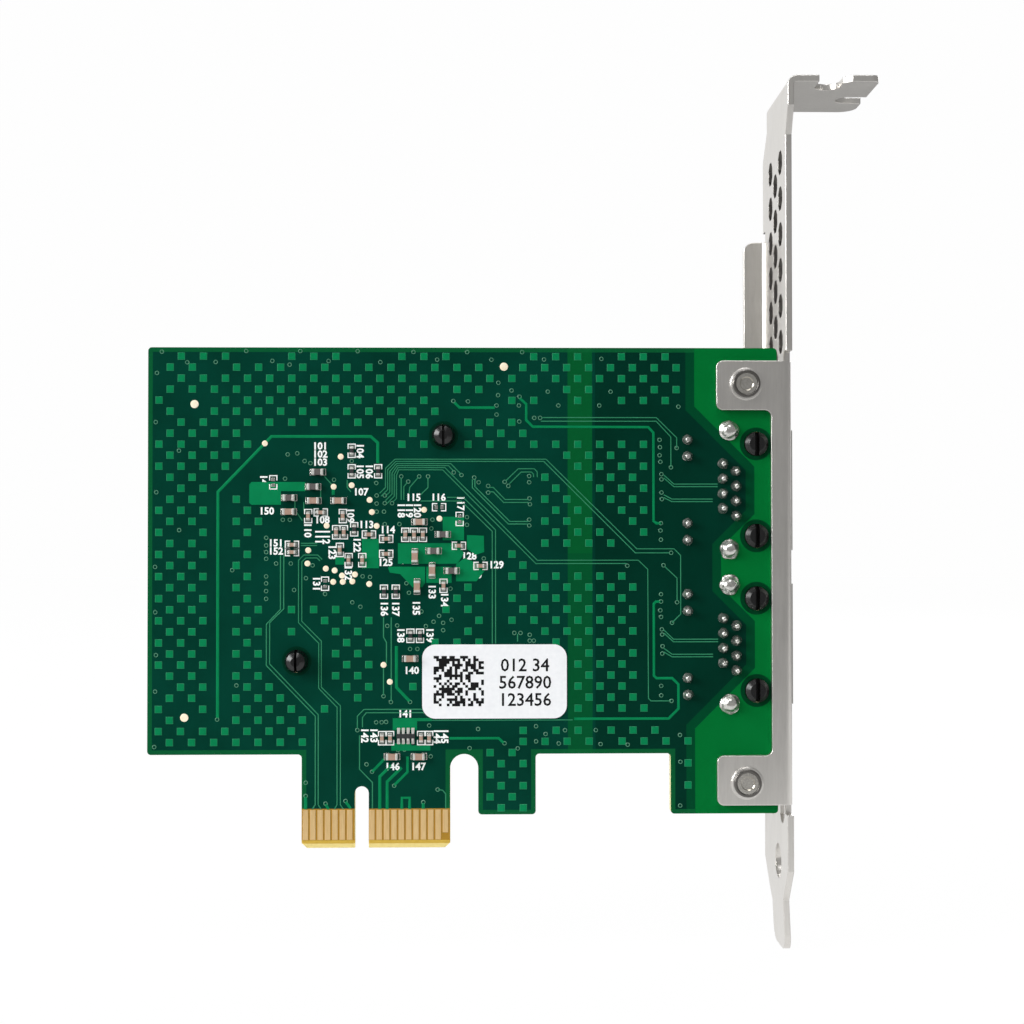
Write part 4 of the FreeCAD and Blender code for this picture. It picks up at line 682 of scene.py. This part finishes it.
PROBE_PADS = ((-13.2, 55.0), (-2.9, 53.2), (-3.85, 49.1), (-1.4, 49.3), (1.05, 47.3),
              (1.35, 45.65), (-4.8, 43.8), (2.0, 43.75), (-7.3, 40.45), (-7.4, 38.65),
              (-4.9, 37.95), (-3.7, 37.7), (-2.7, 37.0), (-0.95, 37.15), (-3.9, 36.15),
              (-2.6, 36.15), (-1.3, 36.2), (1.0, 35.85), (8.45, 45.95), (10.55, 44.75),
              (2.95, 24.85), (3.8, 22.55), (-22.75, 60.35), (19.35, 65.5), (-24.05, 17.75))
clear()
bpy.ops.mesh.primitive_cylinder_add(vertices=20, radius=0.4 * MM, depth=0.05 * MM,
                                    rotation=(math.pi / 2, 0, 0))
bpy.ops.object.mode_set(mode="EDIT")
bpy.ops.mesh.select_mode(type="FACE")
bpy.ops.mesh.select_all(action="DESELECT")
bpy.ops.object.mode_set(mode="OBJECT")
probe = settle(bpy.context.object, "probe")
for face in probe.data.polygons:
    face.select = face.normal.y < -0.9
bpy.ops.object.mode_set(mode="EDIT")
bpy.ops.mesh.inset(thickness=0.1 * MM, depth=0.025 * MM)
bpy.ops.mesh.inset(thickness=0.12 * MM, depth=0.01 * MM)
bpy.ops.object.mode_set(mode="OBJECT")
pad_tin = Finish("tinned_probe_pad", 0.36, 0.12)
pad_tin.tint(pad_tin.noise(0.5), paint(246, 226, 190), paint(254, 246, 226))
pad_tin.bump(pad_tin.noise(0.15), 0.01)
coat(probe, pad_tin)
widened = Matrix.Diagonal((1.4, 1, 1.4, 1))
places = [at(x, z) for x, z in PROBE_PADS[:-3]]
places += [at(x, z) @ widened for x, z in PROBE_PADS[-3:]]
probes = lay_out(probe, places, "probe_pads")
keep(probes)


# The chequer fills every part of the outer layer that nothing else uses: a square stands only
# where it keeps clear of tracks, vias, pads, parts, holes and the routed edge.
def from_run(x, z, start, end):
    """Distance from a point to a straight run."""
    ax, az = end[0] - start[0], end[1] - start[1]
    length = ax * ax + az * az
    share = 0 if length == 0 else ((x - start[0]) * ax + (z - start[1]) * az) / length
    share = max(0, min(1, share))
    return math.hypot(x - start[0] - share * ax, z - start[1] - share * az)


RUNS = [(run[0], run[1], width / 2) for width, routes in TRACKS.items()
        for route in routes for run in zip(route, route[1:])]
# No squares stand in these parts, which are full of parts, tracks or chassis copper.
QUIET = (((-14.7, 33.3), (-14.7, 43.6), (-13.3, 43.7), (-13.3, 45.4), (-16.2, 46.2),
          (-16.2, 50.4), (-12.4, 56.6), (2.7, 56.6), (3.2, 53.6), (12.0, 53.6), (24.1, 52.3),
          (24.1, 42.4), (20.6, 42.4), (17.4, 44.6), (17.4, 36.2), (13.6, 36.0), (12.5, 34.6),
          (10.7, 34.6), (10.7, 29.4), (9.0, 28.2), (9.0, 23.0), (4.9, 23.0), (4.4, 20.2),
          (2.3, 20.2), (2.2, 33.2), (-0.2, 33.6), (-9.0, 33.6)),
         ((-12.4, 30.3), (-12.4, 24.6), (-6.2, 18.0), (-6.2, 27.4), (-8.6, 28.6)),
         ((7.6, 17.0), (28.6, 17.0), (28.6, 27.6), (7.6, 27.6)),
         ((-7.4, 5.0), (13.0, 5.0), (13.0, 19.6), (-1.2, 19.6), (-2.8, 18.0), (-7.4, 18.0)),
         ((39.2, 17.2), (60.0, 17.2), (60.0, 60.5), (39.2, 57.5)),
         ((43.9, 57.5), (60.0, 57.5), (60.0, 70.0), (43.9, 70.0)),
         ((44.9, 3.0), (60.0, 3.0), (60.0, 19.5), (44.9, 19.5)),
         ((17.9, 61.3), (22.6, 61.5), (22.6, 63.0), (17.9, 63.0)),
         ((10.9, 60.3), (12.0, 60.3), (12.0, 61.4), (10.9, 61.4)))
# The squares stand on the other colour of the chequer in these parts.
SHIFTED = (((-6.2, 5.0), (-6.2, 18.2), (-12.4, 24.7), (-12.4, 30.2), (-8.3, 34.0), (9.5, 36.5),
            (17.9, 36.5), (17.9, 17.2), (13.0, 17.2), (13.0, 5.0)),
           ((32.5, 3.0), (60.0, 3.0), (60.0, 17.2), (32.5, 17.2)),
           ((19.5, 15.0), (22.9, 15.0), (22.9, 16.6), (19.5, 16.6)))


def within(x, z, outline):
    """Whether a point lies inside an outline."""
    hits = False
    for (ax, az), (bx, bz) in zip(outline, outline[1:] + outline[:1]):
        if (az > z) != (bz > z) and x < ax + (bx - ax) * (z - az) / (bz - az):
            hits = not hits
    return hits


# The parts of the board that have squares: left, low, right and high.
CHEQUERED = ((-28.4, 13.5, 56, 67.5), (16.6, 4.8, 23.0, 16), (42.9, 5.1, 56, 16))
CLEARANCES = ((PUSH_PINS, 2.55), (PROBE_PADS, 1.9), (VIAS, 0.8))
TRACK_CLEARANCE = 0.85


def square_fits(x, z):
    """Whether a square of a millimetre keeps clear of all that is round it."""
    if not any(left < x - 0.5 and x + 0.5 < right and low < z - 0.5 and z + 0.5 < high
               for left, low, right, high in CHEQUERED):
        return False
    if any(within(x, z, outline) for outline in QUIET):
        return False
    if any(math.hypot(x - spot_x, z - spot_z) < clearance
           for spots, clearance in CLEARANCES for spot_x, spot_z in spots):
        return False
    return all(from_run(x, z, start, end) > TRACK_CLEARANCE + half for start, end, half in RUNS)


def tile(width, height, thick, taper=1.0, x=0.0, z=0.0):
    """A flat tile on the plane y = 0, raised towards -Y, with its face drawn in."""
    clear()
    bpy.ops.mesh.primitive_plane_add(size=MM, rotation=(math.pi / 2, 0, 0),
                                     location=(x * MM, 0, z * MM))
    made = bpy.context.object
    made.scale = (width, height, 1)
    bpy.ops.object.transform_apply(location=True, rotation=True, scale=True)
    bpy.ops.object.mode_set(mode="EDIT")
    extrude(0, -thick, 0)
    bpy.ops.transform.resize(value=(taper, 1, taper))
    bpy.ops.object.mode_set(mode="OBJECT")
    return made


PITCH, COLUMNS, ROWS = 1.5, 50, 42
FIRST_X, FIRST_Z = -27.55, 66.89
square = settle(tile(1, 1, COPPER, 0.9), "square")
coat(square, over_copper, thin_mask)
paint_sides(square, 0.9)
chequer = []
for column in range(COLUMNS):
    for row in range(ROWS):
        x, z = FIRST_X + PITCH * column, FIRST_Z - PITCH * row
        shifted = any(within(x, z, outline) for outline in SHIFTED)
        if (column + row) % 2 == shifted and square_fits(x, z):
            chequer.append(at(x, z))
squares = lay_out(square, chequer, "copper_squares")
keep(squares)


# White ink is screened on the mask: a frame round each small chip, broken in the middle of its
# long sides, and a plain number beside each part. The ink is a little proud and uneven.
ink = Finish("white_board_ink", 0.6)
ink.tint(ink.noise(0.3, detail=3), paint(226, 232, 229), paint(252, 253, 252))
ink.bump(ink.noise(0.12), 0.004)
INK = 0.055


def ink_bar(low_x, low_z, high_x, high_z):
    """One stroke of ink between two corners."""
    return tile(high_x - low_x, high_z - low_z, INK, 0.985,
                (low_x + high_x) / 2, (low_z + high_z) / 2)


def ink_frame(length, width, gap):
    """A frame of ink along X, whose long sides are broken in the middle by a gap."""
    line = 0.14
    half, side = length / 2, width / 2
    bars = []
    for way in (-1, 1):
        low, high = sorted((way * half, way * (half - line)))
        bars.append(ink_bar(low, -side, high, side))
        for edge in (-1, 1):
            low_z, high_z = sorted((edge * side, edge * (side - line)))
            inner, outer = sorted((way * gap / 2, way * (half - line)))
            bars.append(ink_bar(inner, low_z, outer, high_z))
    return merge(bars, "frame")


# Four pairs of pads are framed as well, but carry no part.
empty_places = [at(-12.05, 49.7, 90), at(-5.0, 35.9, 90), at(13.3, 44.7, 90), at(10.5, 46.3)]
framed = [stand(low, high) for node in ("rear_capacitors", "rear_resistors")
          for low, high in loose_parts(node) if not is_large(low, high)]
frames = lay_out(ink_frame(1.95, 1.12, 0.5), framed + empty_places, "ink_frames")
coat(frames, ink)
keep(frames)

pair = merge([block((low, -0.05, -0.27), (low + 0.45, 0.01, 0.27), 0.02)
              for low in (-0.62, 0.17)], "pair")
coat(pair, pad_solder)
empty_pads = lay_out(pair, empty_places, "empty_chip_pads")
keep(empty_pads)

# Where each number stands: across, up, and 1 where it is turned to read upwards.
NUMBER_PLACES = (
    (-5.7, 54.6, 0), (-5.7, 53.5, 0), (-5.7, 52.4, 0), (-0.3, 54.0, 1), (-0.3, 51.2, 1),
    (0.95, 51.2, 1), (-0.15, 48.35, 0), (-5.4, 44.55, 0), (-1.6, 45.2, 1), (-7.4, 43.2, 1),
    (-5.9, 42.3, 1), (-4.9, 42.3, 1), (0.6, 43.9, 0), (3.5, 43.2, 0), (7.0, 47.6, 0),
    (10.4, 47.6, 0), (13.4, 46.9, 1), (5.3, 45.9, 1), (6.4, 45.9, 1), (7.5, 45.9, 1),
    (12.0, 44.3, 0), (-0.7, 41.2, 1), (-4.1, 40.2, 1), (5.6, 39.6, 1), (3.2, 38.75, 0),
    (1.15, 39.0, 1), (15.2, 41.1, 0), (14.6, 39.6, 0), (18.3, 38.4, 0), (15.3, 37.05, 0),
    (-6.2, 35.9, 1), (-1.9, 37.4, 1), (9.5, 34.8, 1), (11.2, 33.7, 1), (7.35, 32.6, 1),
    (3.0, 32.5, 1), (4.55, 32.5, 1), (5.25, 28.9, 1), (9.2, 28.9, 1), (6.75, 24.05, 0),
    (5.9, 18.15, 0), (0.35, 15.3, 1), (1.6, 15.3, 1), (10.2, 15.15, 1), (11.2, 15.15, 1),
    (4.15, 11.0, 0), (7.65, 11.0, 0), (-13.4, 49.75, 1), (-12.9, 47.65, 0), (-12.95, 45.75, 0),
    (-11.7, 41.4, 0), (-11.7, 40.3, 0))


def figures(text, height, thick, name, bold=0.0):
    """Plain figures on the plane y = 0, read from -Y and centred on the origin."""
    clear()
    bpy.ops.object.text_add(rotation=(math.pi / 2, 0, 0))
    item = bpy.context.object
    item.data.body = text
    item.data.size = height * 1.38 * MM
    item.data.align_x = "CENTER"
    item.data.align_y = "CENTER"
    item.data.resolution_u = 2
    item.data.extrude = thick / 2 * MM
    item.data.offset = bold * MM
    bpy.ops.object.convert(target="MESH")
    return settle(bpy.context.object, name)


numbers = []
for count, (x, z, turned) in enumerate(NUMBER_PLACES):
    digits = figures(str(101 + count), 0.98, INK, "digits", 0.045)
    digits.data.transform(at(x, z, 90 * turned))
    numbers.append(digits)
numbers = merge(numbers, "ink_numbers")
coat(numbers, ink)
keep(numbers)


# The gold contacts of the card edge: nickel and hard gold over copper, with the fine lines
# that insertion leaves along them.
gold = Finish("hard_gold", 0.3, 0.75)
gold.tint(gold.noise(0.5, (4, 1, 0.3)), paint(216, 176, 112), paint(244, 212, 158))
gold.set("Roughness", 0.26 + gold.noise(0.2, (6, 1, 0.2)) * 0.2)
gold.bump(gold.noise(0.1, (6, 1, 0.2)), 0.002)
dress(gold, "edge_contacts_rear", "edge_contacts_front", "jack_contacts_upper",
      "jack_contacts_lower")


# The four-element resistor array: one dark block with four tinned terminals a side, which
# are soldered down on two rows of four pads.
dress(dark_ceramic, "rear_resistor_array")
low, high = box_of("rear_resistor_array")
middle = (low + high) / 2
array = [block((-1.24, -0.45, -0.32), (1.24, -0.02, 0.32), 0.04)]
coat(array[0], dark_ceramic, chip_tin)
TERMINAL_PITCH = 0.65
for step in range(4):
    shift = TERMINAL_PITCH * step
    for way in (-1, 1):
        inner, outer = sorted((way * 0.31, way * 0.6))
        cap = block((-1.15 + shift, -0.46, inner), (-0.8 + shift, 0, outer), 0.04)
        inner, outer = sorted((way * 0.5, way * 1.1))
        pad = block((-1.18 + shift, -0.1, inner), (-0.77 + shift, 0.01, outer), 0.03)
        for piece in (cap, pad):
            coat(piece, chip_tin)
            array.append(piece)
array = lay_out(merge(array, "array"), [at(middle.x, middle.z)], "resistor_array_soldered")
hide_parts("rear_resistor_array")
keep(array)


# The label on the solder side: coated white paper with rounded corners, carrying plain
# figures and a field of dots in black ink. The dots spell nothing.
label_low, label_high = box_of("label")
paper = Finish("coated_label_paper", 0.5)
fibres = paper.noise(0.5, detail=4)
paper.tint(fibres, paint(226, 228, 231), paint(240, 241, 243))
paper.set("Roughness", 0.42 + paper.noise(0.9) * 0.12)
paper.bump(fibres * 0.4 + paper.noise(6) * 0.6, 0.01)
dress(paper, "label")
black_ink = Finish("black_label_ink", 0.5)
black_ink.tint(black_ink.noise(0.3), paint(4, 4, 5), paint(18, 18, 20))
black_ink.set("Specular IOR Level", 0.2)
label_face = label_low.y
DOT, DOTS_A_SIDE, DOT_SHARE, DOT_MARGIN = 0.36, 19, 0.56, 1.55
LINE_X, FIRST_LINE, LINE_STEP = 14.0, 2.9, 2.35
dots = random.Random(11)
left, top = label_low.x + DOT_MARGIN, label_high.z - DOT_MARGIN
dot = settle(tile(DOT * 1.02, DOT * 1.02, 0.012), "dot")
places = [at(left + DOT * (column + 0.5), top - DOT * (row + 0.5), 0, label_face)
          for row in range(DOTS_A_SIDE) for column in range(DOTS_A_SIDE)
          if dots.random() < DOT_SHARE]
field = lay_out(dot, places, "label_dots")
coat(field, black_ink)
keep(field)
lines = []
for row, text in enumerate(("012 34", "567890", "123456")):
    line = figures(text, 1.78, 0.02, "line", 0.03)
    up = label_high.z - FIRST_LINE - LINE_STEP * row
    line.data.transform(at(label_low.x + LINE_X, up, 0, label_face)
                        @ Matrix.Scale(0.98, 4, (1, 0, 0)))
    lines.append(line)
lines = merge(lines, "label_figures")
coat(lines, black_ink)
keep(lines)


# The bracket: cold-rolled sheet steel, blanked, pierced and folded, then nickel plated to a
# soft grey. Its edges are a little rounded, and the flats keep the rolling's fine grain.
def plated_steel(name, dark, light, roughness, grain):
    """Plated metal with a grain, which is drawn out along the axis with the low number."""
    steel = Finish(name, roughness, 1.0)
    lines = steel.noise(0.25, grain, 3) * 0.6 + steel.noise(5, detail=3) * 0.4
    steel.tint(lines, dark, light)
    steel.set("Roughness", roughness + steel.noise(0.6, grain, 3) * 0.14)
    steel.bump(steel.noise(0.18, grain, 2), 0.006)
    return steel


ROLLED = (1, 1, 0.12)
VENTS_LOW, VENTS_HIGH, PLATE_INNER = 60, 103, 57.88
SCREW_END, GAP_END = 1.4, 1.9
bracket_steel = plated_steel("nickel_plated_sheet", paint(206, 203, 198),
                             paint(230, 227, 222), 0.26, ROLLED)
x, y, z = bracket_steel.axes()
facing = bracket_steel.node("ShaderNodeTexCoord", {}, {}, "Normal")
facing_x = bracket_steel.node("ShaderNodeSeparateXYZ", {}, {0: facing}, "X")
# Painted shade: the walls of the vents and a ring in the gap round the end of each screw are
# painted dark, where shade falls in them.
vents = (z > VENTS_LOW) & (z < VENTS_HIGH) & (y > 1.2) & (x > PLATE_INNER)
vent_wall_shade = (abs(facing_x) < 0.6) & vents
reaches = [squared(x - (low.x + high.x) / 2, z - (low.z + high.z) / 2)
           for low, high in loose_parts("bracket_screws")]
screw_gap_shade = any_of([(reach > SCREW_END ** 2) & (reach < GAP_END ** 2) for reach in reaches])
painted_shade = vent_wall_shade * 0.8 | screw_gap_shade * 0.8
# Painted shade: the vent walls and the rings round the screws take a dark grey.
bracket_steel.tint(painted_shade, bracket_steel.colour, paint(58, 54, 50))
bracket_steel.bump(bracket_steel.noise(0.18, ROLLED, 2), 0.006, 0.22)
dress(bracket_steel, "bracket")
screw_steel = plated_steel("bright_screw_steel", paint(150, 146, 138), paint(236, 233, 226),
                           0.16, (1, 1, 1))
dress(screw_steel, "bracket_screws")
shield_tin = plated_steel("tinned_shield", paint(186, 184, 178), paint(216, 214, 208),
                          0.26, (0.2, 1, 1))
dress(shield_tin, "jack_shield_upper", "jack_shield_lower")
lead_tin = plated_steel("tinned_lead", paint(176, 176, 172), paint(212, 212, 208),
                        0.3, (1, 1, 1))
dress(lead_tin, "jack_led_leads_upper", "jack_led_leads_lower", "transformer_leads_upper",
      "transformer_leads_lower", "flash_memory_leads", "regulator_leads", "push_pin_springs",
      "controller_solder_balls")
can_nickel = plated_steel("drawn_nickel_can", paint(196, 194, 188), paint(224, 222, 217),
                          0.22, (0.3, 1, 1))
dress(can_nickel, "crystal")


# Moulded pieces: black nylon for the jacks and push pins, matt epoxy for the packages, clear
# plastic for the lamps. Each keeps the faint grain of its mould.
def moulded(name, dark, light, roughness, grain):
    """Moulded or pressed stuff, speckled between two colours."""
    plastic = Finish(name, roughness)
    spots = plastic.noise(grain, detail=3)
    plastic.tint(spots, dark, light)
    plastic.set("Roughness", roughness + plastic.noise(1.5) * 0.12)
    plastic.bump(spots, 0.012)
    return plastic


black_nylon = moulded("black_nylon", paint(5, 5, 6), paint(14, 14, 15), 0.22, 0.3)
dress(black_nylon, "jack_housing_upper", "jack_housing_lower", "push_pins")
epoxy = moulded("package_epoxy", paint(28, 28, 30), paint(44, 44, 46), 0.5, 0.12)
dress(epoxy, "controller_chip", "flash_memory", "voltage_regulators", "transformer_upper",
      "transformer_lower")
lamp = moulded("clear_lamp_plastic", paint(196, 208, 190), paint(214, 222, 204), 0.12, 0.8)
dress(lamp, "jack_leds_upper", "jack_leds_lower")
powder_core = moulded("pressed_powder", paint(62, 62, 66), paint(96, 96, 100), 0.6, 0.1)
dress(powder_core, "power_inductor")
tantalum = moulded("tantalum_case", paint(196, 128, 30), paint(216, 150, 46), 0.4, 0.2)
dress(tantalum, "bulk_capacitors")
silicone = moulded("thermal_silicone", paint(150, 156, 166), paint(172, 178, 186), 0.6, 0.2)
dress(silicone, "thermal_pad")
anodised = plated_steel("black_anodised", paint(40, 40, 42), paint(58, 58, 60), 0.4,
                        (0.1, 1, 1))
dress(anodised, "heat_sink")


# Solder joints: bright cones of solder rise round every pin of the jacks, each a little
# different, because a wave of molten solder left them.
def joint(radius, height, seed):
    """A cone of solder on the plane y = 0, towards -Y."""
    clear()
    bpy.ops.mesh.primitive_circle_add(vertices=18, radius=radius * MM, fill_type="NGON",
                                      rotation=(math.pi / 2, 0, 0))
    bpy.ops.object.mode_set(mode="EDIT")
    bpy.ops.mesh.select_all(action="SELECT")
    reach, last = radius, 0
    for share, level in ((0.94, 0.12), (0.78, 0.34), (0.62, 0.62), (0.46, 0.86), (0.2, 1.0)):
        now = radius * share
        extrude(0, -height * (level - last), 0)
        bpy.ops.transform.resize(value=(now / reach, 1, now / reach))
        reach, last = now, level
    bpy.ops.object.mode_set(mode="OBJECT")
    made = settle(bpy.context.object, "joint")
    chance = random.Random(seed)
    for vert in made.data.vertices:
        swell = 1 + chance.uniform(-0.12, 0.12)
        vert.co = Vector((vert.co.x * swell, vert.co.y, vert.co.z * swell))
    smooth = made.modifiers.new("smooth", "SUBSURF")
    smooth.levels = 2
    smooth.render_levels = 2
    bpy.ops.object.modifier_apply(modifier=smooth.name)
    bpy.ops.object.shade_smooth()
    return made


bright_solder = solder_finish("wave_solder")
bright_solder.set("Metallic", 0.9)
SIGNAL_ROWS, SIGNAL_PITCH = (49.3, 51.1), 1.02
LAMP_X, LAMP_OFFSETS = 44.45, (-6.86, -4.57, 4.57, 6.86)
SHIELD_X, SHIELD_OFFSET = 50.2, 8.125
joints = []
for centre in JACK_CENTRES:
    spots = [(SIGNAL_ROWS[index % 2], centre + SIGNAL_PITCH * (3.5 - index), 0.78, 1.45)
             for index in range(8)]
    spots += [(LAMP_X, centre + offset, 0.76, 1.0) for offset in LAMP_OFFSETS]
    spots += [(SHIELD_X, centre + side * SHIELD_OFFSET, 1.5, 1.1) for side in (-1, 1)]
    for x, z, radius, height in spots:
        made = joint(radius, height, len(joints))
        made.data.transform(Matrix.Translation((x * MM, solder_face * MM, z * MM)))
        joints.append(made)
joints = merge(joints, "solder_joints")
coat(joints, bright_solder)
keep(joints)


# The room: a pale floor and backdrop that look white, three wide soft lamps and a camera
# straight in front of the card.
def stage_finish(name, shine, reach):
    """White to the camera, with a trace of shadow, and plain elsewhere.

    Reflections show the white as well, but beyond a reach only a share of it.
    """
    pale = Finish(name, 0.9)
    pale.set("Base Color", paint(236, 236, 236))
    path = [pale.node("ShaderNodeLightPath", {}, {}, output)
            for output in ("Is Camera Ray", "Is Glossy Ray", "Is Transmission Ray")]
    far = pale.axes()[1] > reach
    seen = path[0] | path[1] * (1 - far * (1 - shine)) | path[2]
    glow = pale.node("ShaderNodeEmission", {}, {"Color": (1, 1, 1, 1), "Strength": 0.985})
    faint = pale.node("ShaderNodeBsdfDiffuse", {}, {"Color": (0.014, 0.014, 0.014, 1)})
    both = pale.node("ShaderNodeAddShader", {}, {0: glow, 1: faint})
    plain = pale.node("ShaderNodeBsdfDiffuse", {}, {"Color": (0.8, 0.8, 0.8, 1)})
    grey = pale.node("ShaderNodeBsdfDiffuse", {}, {"Color": (0.2, 0.2, 0.2, 1)})
    ground = pale.node("ShaderNodeMixShader", {}, {0: path[1], 1: plain, 2: grey})
    made = pale.node("ShaderNodeMixShader", {}, {0: seen, 1: ground, 2: both})
    pale.tree.links.new(made.socket, pale.tree.nodes["Material Output"].inputs["Surface"])
    return pale


ROOM = 6
floor_level = cad_box[0].z - 0.2 * MM
clear()
bpy.ops.mesh.primitive_plane_add(size=ROOM, location=(0, 2.88, floor_level))
floor = settle(bpy.context.object, "floor")
coat(floor, stage_finish("pale_floor", 0.15, 200))
clear()
bpy.ops.mesh.primitive_plane_add(size=ROOM, location=(0, 2.5, 2.5),
                                 rotation=(math.pi / 2, 0, 0))
backdrop = settle(bpy.context.object, "backdrop")
coat(backdrop, stage_finish("pale_backdrop", 1.0, 0))

world = bpy.data.worlds.new("studio")
bpy.context.scene.world = world
world.use_nodes = True
air = world.node_tree
dim_air = air.nodes["Background"]
dim_air.inputs["Color"].default_value = (1, 1, 1, 1)
dim_air.inputs["Strength"].default_value = 0.34
white_air = air.nodes.new("ShaderNodeBackground")
white_air.inputs["Color"].default_value = (1, 1, 1, 1)
white_air.inputs["Strength"].default_value = 0.97
rays = air.nodes.new("ShaderNodeLightPath")
blend = air.nodes.new("ShaderNodeMixShader")
air.links.new(rays.outputs["Is Camera Ray"], blend.inputs[0])
air.links.new(dim_air.outputs[0], blend.inputs[1])
air.links.new(white_air.outputs[0], blend.inputs[2])
air.links.new(blend.outputs[0], air.nodes["World Output"].inputs["Surface"])

TARGET = Vector((0.016, 0, 0.042))
for name, spot, size, power in (("key", (-0.9, -0.45, 0.45), 0.6, 13.6),
                                ("top", (0.0, -0.5, 0.95), 0.5, 3.6),
                                ("rim", (0.45, 0.8, 0.7), 0.7, 8.0)):
    lamp_data = bpy.data.lights.new(name, "AREA")
    lamp_data.energy = power
    lamp_data.size = size
    light = bpy.data.objects.new(name, lamp_data)
    bpy.context.collection.objects.link(light)
    light.location = spot
    light.rotation_euler = (TARGET - Vector(spot)).to_track_quat("-Z", "Y").to_euler()

camera_data = bpy.data.cameras.new("camera")
camera_data.lens = 60.73
camera_data.sensor_width = 36
camera_data.clip_start = 0.01
camera = bpy.data.objects.new("camera", camera_data)
bpy.context.collection.objects.link(camera)
ahead = Vector((0.02149, 0.99962, 0.01731))
upright = Vector((0.00049, -0.01732, 0.99985))
across = ahead.cross(upright)
camera.matrix_world = Matrix.Translation(Vector((15.378, -236.449, 41.563)) * MM) @ Matrix(
    (across, upright, -ahead)).transposed().to_4x4()
bpy.context.scene.camera = camera
bpy.context.scene.view_settings.view_transform = "Standard"
